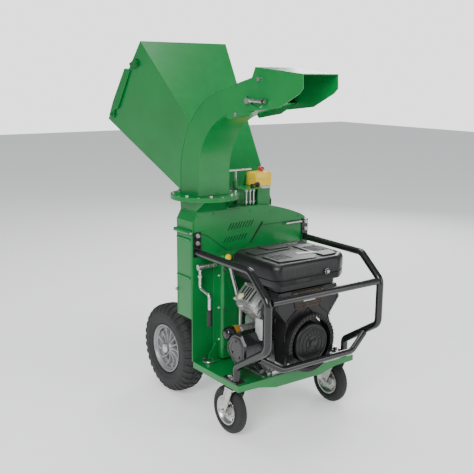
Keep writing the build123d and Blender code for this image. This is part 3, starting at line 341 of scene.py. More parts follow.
# ---- main wheels --------------------------------------------------------------------------------------
for side, sn in ((-1, "left"), (1, "right")):
    xc, yc, zc = side * 222.0, 620.0, 203.0
    g = Geo()
    half = [(0, 199.0), (14, 198.6), (26, 197), (36, 193), (44, 186), (50, 176), (52.6, 169), (54.2, 167.5), (55.2, 160),
            (55.6, 150), (54.6, 140), (53.4, 138.6), (52.6, 132), (50.4, 126), (50.8, 122.5), (48.4, 119.0), (45, 113),
            (41, 110.4)]
    prof = [(-a, r) for a, r in reversed(half)][:-1] + half
    g.lathe((xc, yc, zc), "X", prof, 120)
    n_lug = 34

    def pt(ax, r, t):
        return V(xc + ax, yc + r * math.cos(t), zc + r * math.sin(t))
    for k in range(n_lug):
        t0 = 2 * math.pi * k / n_lug
        # centre blocks, staggered
        for sgn in (-1, 1):
            t = t0 + (0.25 if sgn > 0 else -0.25) * math.pi / n_lug * 1.6
            wdt = 0.048
            q = []
            for a0 in (1.6, 17.5):
                sh = 0.020 * a0 / 17.5
                q.append([pt(sgn * a0, 197.2, t - wdt + sh), pt(sgn * a0, 197.2, t + wdt + sh),
                          pt(sgn * a0, 202.9, t + wdt * 0.8 + sh), pt(sgn * a0, 202.9, t - wdt * 0.8 + sh)])
            g.loft(q)
            # shoulder lugs running down the side wall
            q = []
            for a0, r_in, r_out, w in ((21.5, 196.0, 202.4, 0.050), (34, 191, 199.4, 0.054), (45, 182, 192.0, 0.056),
                                       (53.2, 168.5, 174.5, 0.050), (54.6, 162.0, 164.5, 0.040)):
                tt = t + 0.045
                q.append([pt(sgn * a0, r_in, tt - w), pt(sgn * a0, r_in, tt + w),
                          pt(sgn * min(a0 + 0.9, 55.8), r_out, tt + w * 0.8), pt(sgn * min(a0 + 0.9, 55.8), r_out, tt - w * 0.8)])
            g.loft(q)
    g.done("tyre_tread_" + sn, "wheel_" + sn, "tyre", 0.7, 30, 1, ("tyre_" + sn,))
    # moulded rim: barrel, double bead lip, twelve curved spokes, hub
    g = Geo()
    o = side
    g.lathe((xc, yc, zc), "X", [(-47, 109.6), (-40, 106), (40, 106), (44, 109.7), (47.5, 109.7), (48, 106), (44, 102.5),
                                (36, 98.5), (34, 94), (-34, 94), (-38, 99), (-47, 103)] if o > 0 else
            [(-47.5, 109.7), (-44, 109.7), (-40, 106), (40, 106), (47, 109.6), (47, 103), (38, 99), (34, 94), (-34, 94),
             (-36, 98.5), (-44, 102.5), (-48, 106)], 96)
    g.lathe((xc, yc, zc), "X", [(-o * 20, 12.8), (-o * 20, 27), (o * 26, 30), (o * 38, 26), (o * 41, 22), (o * 41, 12.8)], 64)
    for k in range(12):
        t = 2 * math.pi * k / 12
        q = []
        for j in range(7):
            f = j / 6
            rr = 24 + f * 73
            tt = t + 0.30 * f * f
            w = 8.5 - 3.0 * math.sin(math.pi * min(f * 1.1, 1)) + 3.5 * f ** 4
            xo = o * (33 - 9 * math.sin(math.pi * f) + 1 * f)
            er, et = Vector((0, math.cos(tt), math.sin(tt))), Vector((0, -math.sin(tt), math.cos(tt)))
            c = V(xc, yc, zc) + er * rr / 1000.0
            q.append([c + (Vector((xo, 0, 0)) + et * w * 0.55) / 1000.0, c + (Vector((xo, 0, 0)) - et * w * 0.55) / 1000.0,
                      c + (Vector((xo - o * 14, 0, 0)) - et * w) / 1000.0, c + (Vector((xo - o * 14, 0, 0)) + et * w) / 1000.0])
        g.loft(q)
    # recessed web behind the spokes, with slots left open between ribs
    g.lathe((xc, yc, zc), "X", [(o * 6, 26), (o * 9, 26), (o * 11, 52), (o * 8, 52)], 64)
    g.lathe((xc, yc, zc), "X", [(o * 14, 80), (o * 18, 80), (o * 22, 96), (o * 17, 96)], 64)
    g.done("rim_spoked_" + sn, "wheel_" + sn, "rim", 0.8, 35, 2, ("rim_" + sn,))
    g = Geo()
    g.lathe((xc, yc, zc), "X", [(o * 38.5, 21), (o * 43.5, 19.5), (o * 44.5, 16.5), (o * 44.5, 12.75), (o * 38.5, 12.75)], 40)
    g.done("hub_collar_" + sn, "wheel_" + sn, "zinc", 0.3)
    # bright cap over the axle nut, hollow so that it turns round the fixed nut
    g = Geo()
    g.lathe((xc, yc, zc), "X", [(o * 44.7, 17.2), (o * 44.7, 21.5), (o * 50, 21.2), (o * 53.2, 19.6), (o * 55.2, 15), (o * 55.7, 7),
                                (o * 55.7, 0.01), (o * 54.6, 0.01), (o * 54.6, 14), (o * 52.4, 17.2)], 48)
    g.done("hub_cap_" + sn, "wheel_" + sn, "zinc", 0)
    g = Geo()
    # valve stem
    a = 1.1
    c = (xc + o * 36, yc + 88 * math.cos(a), zc + 88 * math.sin(a))
    g.cyl(c, (c[0] + o * 15, c[1] - 3, c[2] - 6), 3.6, 2.9, 20)
    g.cyl((c[0] + o * 13, c[1] - 2.6, c[2] - 5.2), (c[0] + o * 18, c[1] - 3.6, c[2] - 7.2), 3.4, 2.8, 20)
    g.done("valve_stem_" + sn, "wheel_" + sn, "rubber", 0.3)

    # castors
    cx, cy, cz = side * 275.0, 103.0, 100.0
    g = Geo()
    half = [(0, 99.6), (5, 99.4), (9, 98.2), (12, 96.6), (17, 92.5), (21, 86.5), (23.6, 79), (23.4, 73), (22.2, 71.8),
            (21.4, 66), (19, 61.4)]
    prof = [(-a, r) for a, r in reversed(half)][:-1] + half
    g.lathe((cx, cy, cz), "X", prof, 96)
    for s2 in (-1, 1):
        for rr in (68.5, 74.5):
            g.lathe((cx, cy, cz), "X", [(s2 * 20.2, rr - 1), (s2 * (24.3 if rr > 70 else 22.9), rr - 0.6),
                                        (s2 * (24.3 if rr > 70 else 22.9), rr + 0.6), (s2 * 20.2, rr + 1)], 96)
    for k in range(40):
        t = 2 * math.pi * k / 40
        for s2 in (-1, 1):
            q = []
            for a0, ri, ro in ((2, 98.6, 99.95), (9, 97.4, 98.9), (16, 92.4, 94.6)):
                tt = t + (0.04 if s2 > 0 else 0) + a0 * 0.002
                q.append([V(cx + s2 * a0, cy + r_ * math.cos(tt + e_), cz + r_ * math.sin(tt + e_))
                          for r_, e_ in ((ri, -0.05), (ri, 0.05), (ro, 0.04), (ro, -0.04))])
            g.loft(q)
    g.done("castor_tread_" + sn, "castor_wheel_" + sn, "tyre", 0.4, 30, 1, ("castor_tyre_" + sn,))
    g = Geo()
    g.lathe((cx, cy, cz), "X", [(-21, 61.2), (-17, 57), (17, 57), (21, 61.2), (22.6, 61), (21.4, 56), (14, 52), (9.5, 46),
                                (7, 34), (9, 25), (16, 22.5), (25.6, 20), (25.6, 9), (19, 8.5), (19, 6.1), (-19, 6.1),
                                (-19, 8.5), (-25.6, 9), (-25.6, 20), (-16, 22.5), (-9, 25), (-7, 34), (-9.5, 46),
                                (-14, 52), (-21.4, 56), (-22.6, 61)], 72)
    for s2 in (-1, 1):
        for k in range(4):
            t = math.pi / 4 + k * math.pi / 2
            g.hexbolt((cx + s2 * 7.2, cy + 38.5 * math.cos(t), cz + 38.5 * math.sin(t)), AX["X"] * s2, 5.2, 4.5, 1.2)
        for k in range(5):
            t = 0.3 + k * 2 * math.pi / 5
            c1 = Vector((cx + s2 * 10.0, cy + 30 * math.cos(t), cz + 30 * math.sin(t)))
            c2 = Vector((cx + s2 * 13.0, cy + 49 * math.cos(t), cz + 49 * math.sin(t)))
            g.tube([tuple(c1), tuple(c2)], 3.0, 12)
    g.done("castor_dish_" + sn, "castor_wheel_" + sn, "zinc", 0.5, 35, 2, ("castor_rim_" + sn,))
    # swivel raceway balls cup and fork stiffening bead
    g = Geo()
    g.lathe((cx, 60.0, 0), "Z", [(211, 26.2), (213, 31), (219, 32.5), (223.5, 31), (224.4, 26.2)], 48)
    for s2 in (-1, 1):
        g.tube([(cx + s2 * 37.4, 44, 200), (cx + s2 * 37.4, 88, 122)], 2.6, 12)
        g.tube([(cx + s2 * 37.4, 80, 200), (cx + s2 * 37.4, 114, 122)], 2.6, 12)
    g.done("castor_head_" + sn, "castor_" + sn, "zinc", 0.4)

# ---- deck: base frame of the engine, bolts, rail strip, weld beads -------------------------------------
g = Geo()
for x, y in ((-118, 34), (118, 34), (-118, 214), (118, 214)):
    g.hexbolt((x, y, 257.1), AX["Z"], 7.5, 6)
for x in (-291, 291):
    g.hexbolt((x, 66, 246.1), AX["Z"], 6.5, 5.5)
    g.hexbolt((x + (14 if x < 0 else -14), 102, 246.1), AX["Z"], 5.5, 5)
for z in (330, 470, 610):
    g.hexbolt((-205.1, 288, z), AX["X"] * -1, 5.5, 4.5)
for z in (300, 640):
    g.hexbolt((246, 324.9, z), AX["Y"] * -1, 6, 5)
g.done("chassis_bolts", "chassis", "zinc", 0.35)
g = Geo()
# bright strip beside the engine, lower edge of the deck rail
g.box(-176, -166, 20, 150, 240.2, 244)
g.box(-150, -134, 20, 226, 240.2, 252)
g.done("engine_foot_strip", "chassis", "zinc", 0.8)
g = Geo()
for x in (-206.2, 206.2):
    g.tube([(x, 323.4, 252), (x, 323.4, 699)], 2.0, 10)
g.tube([(-308, 323.6, 242.2), (308, 323.6, 242.2)], 2.6, 10)
for s in (-1, 1):
    g.tube([(s * 291 - s * 18, 317.5, 700), (s * 291 - s * 18, 317.5, 728)], 1.6, 8)
g.done("weld_beads", "chassis", "green", 0, 60)
g = Geo()
# bracket by the guard's foot and the folded ear at the bulkhead's left edge
g.prism("XZ", [(-252, 246), (-207, 246), (-207, 318), (-218, 318), (-252, 268)], 290, 296)
g.box(-252, -208, 262, 296, 240.4, 246)
g.done("guard_foot_bracket", "chassis", "green", 1.0)

# ---- engine -------------------------------------------------------------------------------------------
S45 = math.sqrt(0.5)
for s, yc_, sn in ((-1, 92.0, "left"), (1, 122.0, "right")):
    dv = Vector((s * S45, 0, S45))
    ev = Vector((-s * S45, 0, S45))
    ey = AX["Y"]
    g = Geo()

    def at(dist, y=0.0, e=0.0):
        return (dv.x * dist + ev.x * e, yc_ + y, 378 + dv.z * dist + ev.z * e)
    g.cyl(at(118.4), at(133), 47, seg=48)
    g.cyl(at(133), at(234), 41, seg=48)
    for i in range(13):
        dd = 137 + i * 7.2
        pts = []
        hw, hh = 60 - (2 if i % 2 else 0), 54.0 - (2 if i % 2 else 0)
        for (qx, qy) in ((1, 1), (-1, 1), (-1, -1), (1, -1)):
            for j in range(5):
                t = math.atan2(qy, qx) - math.pi / 4 + j * math.pi / 8
                pts.append((qx * (hw - 14) + 14 * math.cos(t), qy * (hh - 14) + 14 * math.sin(t)))
        rings = []
        for zz, k in ((0, 1.0), (2.3, 0.985)):
            rings.append([V(*at(dd + zz, px * k, py * k)) for px, py in pts])
        g.loft(rings)
    # head casting with fins, spark plug boss
    g.obox(at(243), ey, ev, dv, 58, 52, 12.5)
    for i in range(5):
        g.obox(at(238 + i * 3.4), ey, ev, dv, 60 - i, 54 - i, 0.9)
    for px in (-46, 46):
        for py in (-40, 40):
            q = at(255.6, px, py)
            g.cyl(q, tuple(Vector(q) + dv * 3.5), 7, seg=20)
    g.done("cylinder_fins_" + sn, "chassis", "alu", 0.5, 35, 1, ("engine_cylinders",) if sn == "left" else ())
    g = Geo()
    # rocker cover ribs and screws
    for px in (-50, 50):
        for py in (-38, 38):
            q = at(282.3, px, py)
            g.hexbolt(q, dv, 5.5, 4.5, 1.0)
    for px in (-22, -8, 8, 22):
        g.obox(at(283.4, px, 0), ey, ev, dv, 2.0, 34, 1.6)
    g.obox(at(259, 0, 0), ey, ev, dv, 58.5, 48.5, 2.2)
    g.done("rocker_detail_" + sn, "chassis", "alu", 0.6)
    g = Geo()
    # painted shade: dark plastic strips between the ribs stand in for the shade in the recesses; also the gasket line
    # and the push-rod tubes
    for px in (-36, -15, 0, 15, 36):
        g.obox(at(282.5, px, 0), ey, ev, dv, 4.4 if px else 5.2, 29, 0.5)
    g.obox(at(256.1, 0, 0), ey, ev, dv, 59.4, 49.4, 0.9)
    for px in (-24, 24):
        g.tube([at(120, px, 57), at(236, px, 60)], 5.5, 16)
        g.cyl(at(226, px, 59.6), at(232, px, 59.8), 8, seg=20)
    g.done("rocker_shade_gasket_tubes_" + sn, "chassis", "plastic2", 0.3)
    g = Geo()
    # head bolts and studs in bright plate
    for px in (-52, 52):
        for py in (-44, 0, 44):
            g.hexbolt(at(255.6, px, py), dv, 5.6, 5, 1.2)
    for px in (-30, 30):
        g.hexbolt(at(243, px, 53.8), ev, 5.2, 4.4, 1.2)
        g.hexbolt(at(243, px, -53.8), ev * -1, 5.2, 4.4, 1.2)
    g.done("head_bolts_" + sn, "chassis", "zinc", 0.2)
    g = Geo()
    # plug boot and lead
    q = at(228, -61 if s < 0 else 61, 10)
    q2 = at(246, -78 if s < 0 else 78, 22)
    g.cyl(q, q2, 8.5, 9.5, 24)
    g.tube([q2, at(262, -80 if s < 0 else 80, 34), at(232, -84 if s < 0 else 84, 70), (s * 70, (10 if s < 0 else 206), 590)],
           3.2, 12, 20)
    g.done("plug_lead_" + sn, "chassis", "rubber", 0.4)

# cream cap, silver intake flange, dipstick, hoses on the left side of the engine
g = Geo()
g.lathe((-206, 120, 0), "Z", [(545, 3), (545, 17), (548, 19), (560, 19), (566, 17), (572, 12), (574, 3)], 32, closed=False)
g.done("oil_fill_cap", "chassis", "cream", 0.6)
g = Geo()
g.cyl((-206, 120, 520), (-206, 120, 545), 13, seg=32)
g.cyl((-206, 120, 523), (-206, 120, 528), 20, seg=32)
g.cyl((-206, 120, 516), (-150, 120, 470), 12, seg=24)
g.done("oil_fill_neck", "chassis", "alu", 0.5)
g = Geo()
g.tube([(-128, 26, 596), (-176, 18, 560), (-186, 22, 500), (-150, 26, 440), (-128, 30, 420)], 5.0, 16, 30)
g.tube([(-118, 60, 470), (-150, 12, 470), (-158, 8, 420), (-132, 6, 360), (-122, 24, 330)], 4.2, 16, 26)
g.tube([(150, 206, 598), (178, 214, 560), (166, 216, 500), (132, 216, 470)], 5.0, 16, 30)
g.done("engine_hoses", "chassis", "rubber", 0)
g = Geo()
g.box(-186, -178, 20, 58, 398, 484)
g.box(-168, -160, 20, 36, 388, 430)
g.done("regulator_plate", "chassis", "grey", 1.2)
g = Geo()
g.box(-178, -122, 18, 60, 392, 490)
for i in range(7):
    g.box(-176, -124, 14, 18, 398 + i * 12, 403 + i * 12)
g.box(-152, -118, 60, 74, 420, 450)
g.done("regulator_body", "chassis", "black", 1.0)
g = Geo()
# starter motor and solenoid under the right bank
g.cyl((150, 60, 330), (150, 190, 330), 30, seg=40)
g.cyl((150, 190, 330), (150, 214, 330), 22, 26, seg=40)
g.cyl((188, 80, 352), (188, 160, 352), 15, seg=32)
g.box(112.4, 150, 90, 110, 300, 312)
g.box(112.4, 150, 160, 180, 300, 312)
g.done("starter_motor", "chassis", "black", 1.0)

# crankcase ribs, sump plug, base feet
g = Geo()
for x in (-96, -60, 60, 96):
    g.box(x - 2.5, x + 2.5, 225.1, 229, 268, 420)
for s in (-1, 1):
    for y in (60, 110, 160):
        g.prism("XZ", [(s * 112.1, 262), (s * 112.1, 400), (s * 118, 390), (s * 118, 300), (s * 124, 262)], y, y + 5)
g.cyl((-112.1, 190, 280), (-126, 190, 280), 9, seg=6)
g.done("crankcase_ribs", "chassis", "alu", 0.8)

# blower housing face: louvre ring, ribs, rivets, side wings
g = Geo()
for r in (104.5, 110.5, 116.5):
    g.lathe((0, 0, 378), "Y", [(-75.4 + (116.5 - r) * 0.15, r - 1.3), (-75.4 + (116.5 - r) * 0.15, r + 1.3), (-71.5, r + 1.6), (-71.5, r - 1.6)], 96)
for k in range(44):
    t = 2 * math.pi * k / 44
    if 3.5 < (t % (2 * math.pi)) < 5.9:
        continue
    er, et = Vector((math.cos(t), 0, math.sin(t))), Vector((-math.sin(t), 0, math.cos(t)))
    c = (112 * math.cos(t), -74.2, 378 + 112 * math.sin(t))
    g.obox(c, er, et, AX["Y"], 10, 1.1, 2.6)
g.tube([(-86, -47.5, 290), (-62, -47.5, 276), (62, -47.5, 276), (86, -47.5, 290)], 2.4, 12, 14)
for s in (-1, 1):
    g.tube([(s * 110, -46.8, 320), (s * 121, -46.8, 420), (s * 106, -46.8, 470), (s * 158, -46.8, 540), (s * 143, -46.8, 590)], 2.2, 12, 14)
g.tube([(-60, -47, 520), (-120, -47, 470)], 2.6, 12)
g.tube([(60, -47, 520), (120, -47, 470)], 2.6, 12)
g.tube([(-40, -47, 480), (0, -47, 520)], 2.2, 12)
g.tube([(40, -47, 480), (0, -47, 520)], 2.2, 12)
g.done("blower_ribs", "chassis", "black", 0.5)
g = Geo()
for x, z in ((-128, 560), (128, 560), (-96, 300), (96, 300), (-112, 400), (112, 400), (-70, 585), (70, 585)):
    g.hexbolt((x, -46.1, z), AX["Y"] * -1, 5, 4, 1.0)
g.done("blower_screws", "chassis", "zinc", 0.3)
g = Geo()
# intake mesh above the fan and the blank silver plate
g.prism("XZ", [(-66, 528), (66, 528), (84, 594), (-84, 594)], -49.5, -46.2)
g.tube([(-66, -49, 528), (66, -49, 528), (84, -49, 594), (-84, -49, 594), (-66, -49, 528)], 2.2, 10, 4)
g.done("intake_mesh_back", "chassis", "brass", 0.6)
g = Geo()
for i in range(13):
    x = -72 + i * 12
    g.tube([(x * 0.85, -50.4, 531), (x, -50.4, 592)], 1.0, 8)
for i in range(6):
    z = 534 + i * 11
    w = 66 + (z - 528) * 0.27
    g.tube([(-w, -51.2, z), (w, -51.2, z)], 0.9, 8)
g.done("intake_mesh_wires", "chassis", "black", 0)
g = Geo()
g.box(-30, 30, -53.4, -51.6, 552, 570)
for x in (-26, 26):
    g.cyl((x, -53.3, 561), (x, -54.4, 561), 2.4, 1.6, 16)
g.done("blank_plate", "chassis", "grey", 0.5)

# rotating screen on the flywheel: hub cap, radial slots, rim beads
g = Geo()
for k in range(36):
    t = 2 * math.pi * k / 36
    er, et = Vector((math.cos(t), 0, math.sin(t))), Vector((-math.sin(t), 0, math.cos(t)))
    for rr, hl in ((60, 7.5), (42, 6.5)):
        if rr < 50 and k % 2:
            continue
        g.obox((rr * math.cos(t), -79.2, 378 + rr * math.sin(t)), er, et, AX["Y"], hl, 1.5, 1.2)
for r in (70.5, 51, 32):
    g.lathe((0, 0, 378), "Y", [(-77.6, r - 1.6), (-80.4, r - 1.0), (-80.4, r + 1.0), (-77.6, r + 1.6)], 96)
for k in range(4):
    t = math.pi / 4 + k * math.pi / 2
    g.hexbolt((22 * math.cos(t), -78.2, 378 + 22 * math.sin(t)), AX["Y"] * -1, 4.4, 3, 1.0)
g.done("screen_ribs", "crank", "plastic", 0.4)
g = Geo()
g.lathe((0, 0, 378), "Y", [(-78.2, 2), (-78.2, 15), (-82.5, 14), (-84, 11), (-84, 2)], 40, closed=False)
g.done("crank_nut_cap", "crank", "plastic", 0.5)

# air cleaner cover: crowned lid with recess and raised panels
g = Geo()


def ring_xy(z, k=1.0, dx=0.0, dy=0.0, base=((-178, -86), (130, -86), (197, -34), (201, 60), (197, 246), (-150, 246), (-197, 204),
                               (-204, 20), (-200, -60))):
    cx_, cy_ = 0.0, 80.0
    pts = []
    n = len(base)
    for i in range(n):
        a, b, c = Vector(base[i - 1]), Vector(base[i]), Vector(base[(i + 1) % n])
        u, w = (a - b), (c - b)
        q = min(16.0, u.length * 0.4, w.length * 0.4)
        s_, e_ = b + u.normalized() * q, b + w.normalized() * q
        for j in range(5):
            t = j / 4
            p = (1 - t) ** 2 * s_ + 2 * t * (1 - t) * b + t * t * e_
            pts.append(V(cx_ + (p.x - cx_) * k + dx, cy_ + (p.y - cy_) * k + dy, z))
    return pts


g.loft([ring_xy(635, 0.955), ring_xy(635, 0.985), ring_xy(640, 0.992), ring_xy(660, 0.992), ring_xy(662, 0.975),
        ring_xy(666, 0.975), ring_xy(668, 0.997), ring_xy(704, 0.997), ring_xy(715, 0.982), ring_xy(722, 0.955),
        ring_xy(726, 0.90), ring_xy(725.2, 0.88), ring_xy(722.6, 0.865), ring_xy(723.4, 0.60), ring_xy(724, 0.3)])
g.done("air_lid", "chassis", "plastic", 0, 50, 2, ("air_cleaner_cover",))
g = Geo()
for pts, z in (([(-150, -40), (20, -58), (60, -20), (56, 60), (-20, 96), (-150, 70)], 727.4),
               ([(74, -46), (140, -46), (160, 0), (166, 150), (76, 150), (68, 40)], 728.4),
               ([(-150, 110), (40, 120), (40, 200), (-130, 200), (-152, 174)], 727.0),
               ([(-60, 140), (46, 140), (58, 206), (-70, 206)], 731.4)):
    g.prism("XY", pts, 722, z)
for i in range(6):
    g.box(88 + i * 12, 93 + i * 12, 20, 110, 728.2, 730.2)
for i in range(5):
    g.box(-130 + i * 16, -124 + i * 16, -10, 56, 727.2, 729.0)
g.box(-100, -30, -85.4, -80, 648, 660)
for x0 in (-160, -110, -60, 90):
    g.box(x0, x0 + 5, -86.0, -80, 670, 704)
g.done("air_lid_panels", "chassis", "plastic2", 1.2, 38, 3)
g = Geo()
g.prism("XY", [(-8, 20), (80, -2), (86, 18), (-2, 40)], 726.8, 729.8)
for x, y in ((-2, 30), (82, 8)):
    g.cyl((x, y, 729.6), (x, y, 730.6), 2.6, 1.8, 16)
g.done("lid_blank_strip", "chassis", "grey", 0.5)
g = Geo()
g.box(186, 199.6, -20, -2, 655, 700)
g.cyl((193, -11, 650), (193, -11, 704), 3.4, seg=20)
g.hexbolt((199.4, 0, 690), AX["X"], 4.4, 3, 1.0)
g.done("lid_latch", "chassis", "zinc", 0.8)
g = Geo()
for k in range(10):
    t = 2 * math.pi * k / 10
    g.cyl((56 + 10.2 * math.cos(t), -87.4, 672 + 10.2 * math.sin(t)), (56 + 10.2 * math.cos(t), -96.2, 672 + 10.2 * math.sin(t)),
          1.6, seg=10)
g.lathe((56, 0, 672), "Y", [(-97, 1), (-97, 7), (-99, 6), (-99.4, 1)], 28, closed=False)
g.done("knob_grip", "cover_knob", "grey", 0.2)

# oil filter: dark dome, amber body, white nut
g = Geo()
g.lathe((0, 165, 398), "X", [(-261.8, 1), (-261.5, 10), (-259.5, 18), (-254.5, 24), (-246, 27.4), (-222, 28), (-221, 28),
                             (-221, 1)], 56, closed=False)
g.done("filter_dome", "chassis", "black", 0, 50, 2, ("oil_filter",))
g = Geo()
g.lathe((0, 165, 398), "X", [(-220.8, 1), (-220.8, 27.6), (-200, 27.6), (-196, 26), (-192, 22), (-192, 1)], 56, closed=False)
for k in range(14):
    t = 2 * math.pi * k / 14
    g.cyl((-219, 165 + 27.2 * math.cos(t), 398 + 27.2 * math.sin(t)), (-203, 165 + 27.2 * math.cos(t), 398 + 27.2 * math.sin(t)),
          1.3, seg=8)
g.done("filter_body", "chassis", "amber", 0.3)
g = Geo()
g.lathe((0, 165, 398), "X", [(-191.8, 1), (-191.8, 20), (-184.3, 20), (-184.3, 1)], 6, closed=False)
g.done("filter_nut", "chassis", "grey", 0.8)

# muffler: seam flanges, outlet, bolts
g = Geo()
mp_ = [(86, 284), (48, 292), (24, 330), (22, 388), (52, 424), (96, 424), (126, 404), (150, 366), (146, 330)]
cxm, czm = 84.0, 356.0


def mring(x, k):
    return [V(x, cxm + (y - cxm) * k, czm + (z - czm) * k) for y, z in mp_]


for x in (-206, -176):
    g.loft([mring(x - 1.6, 1.003), mring(x - 1.6, 1.02), mring(x + 1.6, 1.02), mring(x + 1.6, 1.003)], closed=True)
g.loft([mring(-262.1, 0.80), mring(-262.1, 0.55), mring(-262.9, 0.53), mring(-262.9, 0.78)], closed=True)
for y, z in ((60, 330), (110, 340), (84, 392)):
    g.hexbolt((-262.05, y, z), AX["X"] * -1, 4.2, 3.2, 1.0)
g.tube([(-200, 40, 300), (-200, 14, 286), (-200, -6, 280)], 11, 24, 20)
g.done("muffler_detail", "chassis", "black", 0.6)
g = Geo()
g.tube([(-136, 96, 470), (-150, 92, 446), (-162, 88, 425.5)], 14, 24, 18)
g.lathe((-136, 96, 0), "Z", [(462, 13.6), (462, 24), (467, 24), (467, 13.6)], 32)
g.done("exhaust_stub", "chassis", "cast", 0.4)

# filler tube clip and cap ribs
g = Geo()
for k in range(12):
    t = 2 * math.pi * k / 12
    g.cyl((-187 + 11.4 * math.cos(t), 246 + 11.4 * math.sin(t), 688.5), (-187 + 11.4 * math.cos(t), 246 + 11.4 * math.sin(t), 700.5), 1.6, seg=10)
g.lathe((-187, 246, 0), "Z", [(703.6, 1), (703.6, 8), (706.4, 7), (706.8, 1)], 28, closed=False)
g.done("cap_ribs", "filler_cap", "yellow", 0.3)
g = Geo()
g.lathe((-187, 246, 0), "Z", [(676, 8.2), (676, 10.5), (684.5, 10.5), (684.5, 8.2)], 32)
g.tube([(-146, 252, 548), (-128, 258, 548), (-112.5, 226.4, 470)], 2.4, 10, 12)
g.done("filler_collar", "chassis", "black", 0.4)

# ---- cover panel: painted shade behind the vent slots, painted shadow lines at the edge flange and seam ---
g = Geo()
# painted shade: shadow-black sheets behind the vent slots stand in for the dark inside of the housing
g.box(-146, 14, 324.72, 324.92, 782, 824)
g.box(-170, -30, 324.72, 324.92, 728, 766)
g.done("slot_painted_shade_backs", "upper_housing", "dark", 0)
g = Geo()
g.prism("XZ", [(-22, 722), (-15, 722), (52, 806), (45, 811)], 321.2, 321.75)
g.prism("XZ", [(-272, 789.4), (-240, 778.4), (-143, 707.4), (-143, 709.4), (-240, 780.4), (-272, 791.4)], 321.3, 321.75)
g.box(58, 262, 321.3, 321.75, 793, 794.8)
g.done("panel_shadow_lines", "upper_housing", "dark", 0)
g = Geo()
for x, z in ((-286, 862), (-210, 868), (-20, 862), (90, 852), (250, 812), (-255, 800), (-120, 718), (210, 786)):
    g.hexbolt((x, 321.65, z), AX["Y"] * -1, 3.8, 2.4, 0.8)
g.done("panel_screws", "upper_housing", "green", 0.3)
# ribs and hand rivets on the upper housing
g = Geo()
g.tube([(-291, 449.5 - 5.4, 884), (-138, 444.4, 886)], 2.2, 10)
g.tube([(-136, 444.2, 884.5), (40, 444.2, 880.5), (91, 444.2, 874.5), (147, 444.2, 862.5), (205, 444.2, 845.5), (265, 444.2, 823.5), (292, 444.2, 808)], 1.4, 10, 8)
for x in (-291.5, -137.5):
    g.tube([(x, 330, 883), (x, 440, 883)], 2.0, 10)
g.done("housing_welds", "upper_housing", "green", 0, 60)

# ---- controls -----------------------------------------------------------------------------------------
g = Geo()


def rrect(x0, x1, y0, y1, z, r, k=0.0):
    pts = []
    for qx, qy, cx_, cy_ in ((1, 1, x1 - r, y1 - r), (-1, 1, x0 + r, y1 - r), (-1, -1, x0 + r, y0 + r), (1, -1, x1 - r, y0 + r)):
        a0 = math.atan2(qy, qx) - math.pi / 4
        for j in range(6):
            t = a0 + j * math.pi / 10
            pts.append(V(cx_ + (r - k) * math.cos(t), cy_ + (r - k) * math.sin(t), z))
    return pts


g.loft([rrect(59.2, 124.8, 362.2, 435.8, 944.5, 6, 1), rrect(59.2, 124.8, 362.2, 435.8, 946, 6), rrect(59.2, 124.8, 362.2, 435.8, 954.8, 6)])
g.done("stop_base", "upper_housing", "grey", 0.4, 38, 2)
g = Geo()
g.loft([rrect(40.2, 129.8, 364.2, 433.8, 955.4, 7, 1.5), rrect(40.2, 129.8, 364.2, 433.8, 957, 7), rrect(40.2, 129.8, 364.2, 433.8, 985, 7),
        rrect(41.2, 128.8, 365.2, 432.8, 986, 7), rrect(41.2, 128.8, 365.2, 432.8, 988, 7), rrect(40.2, 129.8, 364.2, 433.8, 989, 7),
        rrect(40.2, 129.8, 364.2, 433.8, 1008, 7), rrect(40.2, 129.8, 364.2, 433.8, 1013, 7, 2.5), rrect(40.2, 129.8, 364.2, 433.8, 1015.6, 7, 6)])
g.lathe((96, 399, 0), "Z", [(1015.4, 8.4), (1015.4, 17), (1016.4, 17), (1017.2, 16), (1017.5, 13), (1017.2, 8.4)], 48)
g.done("stop_case", "upper_housing", "yellow", 0.3, 38, 2, ("stop_box",))
g = Geo()
for x in (50, 120):
    for y in (373, 425):
        g.cyl((x, y, 1012.5), (x, y, 1016), 3.2, seg=20)
g.tube([(118, 434, 966), (122, 442, 966), (122, 442, 900), (112, 440, 885)], 3.4, 12, 10)
g.done("stop_screws_cable", "upper_housing", "rubber", 0.2)
g = Geo()
g.lathe((96, 399, 0), "Z", [(1014.6, 1), (1014.6, 7.9), (1022, 7.9), (1022.2, 12.2), (1023.4, 13.8), (1025.5, 14.4), (1029, 14.3),
                            (1033, 13), (1036.4, 10.4), (1038.8, 6.4), (1039.8, 2.5), (1039.9, 0.6)], 56, closed=False)
for k in range(16):
    t = 2 * math.pi * k / 16
    g.cyl((96 + 13.6 * math.cos(t), 399 + 13.6 * math.sin(t), 1024), (96 + 13.2 * math.cos(t), 399 + 13.2 * math.sin(t), 1030), 0.8, seg=8)
g.done("stop_mushroom", "stop_button", "red", 0, 50, 2, ("stop_button",))
g = Geo()
# studs and nuts under the latch plate
for x, y in ((2, 352), (20, 352), (-20, 350)):
    g.cyl((x, y, 884), (x, y, 949.8), 3.6, seg=20)
    g.cyl((x, y, 940), (x, y, 949.8), 7, seg=6)
    g.cyl((x, y, 892), (x, y, 899), 7, seg=6)
g.done("latch_studs", "upper_housing", "zinc", 0.3)
g = Geo()
g.lathe((-42, 402, 0), "Z", [(954.2, 1), (954.2, 13), (980, 11), (986, 8), (987, 1)], 32, closed=False)
g.prism("XZ", [(24, 954.2), (40, 954.2), (40, 1000), (34, 1004)], 434, 438)
g.done("latch_boss", "upper_housing", "green", 0.8)

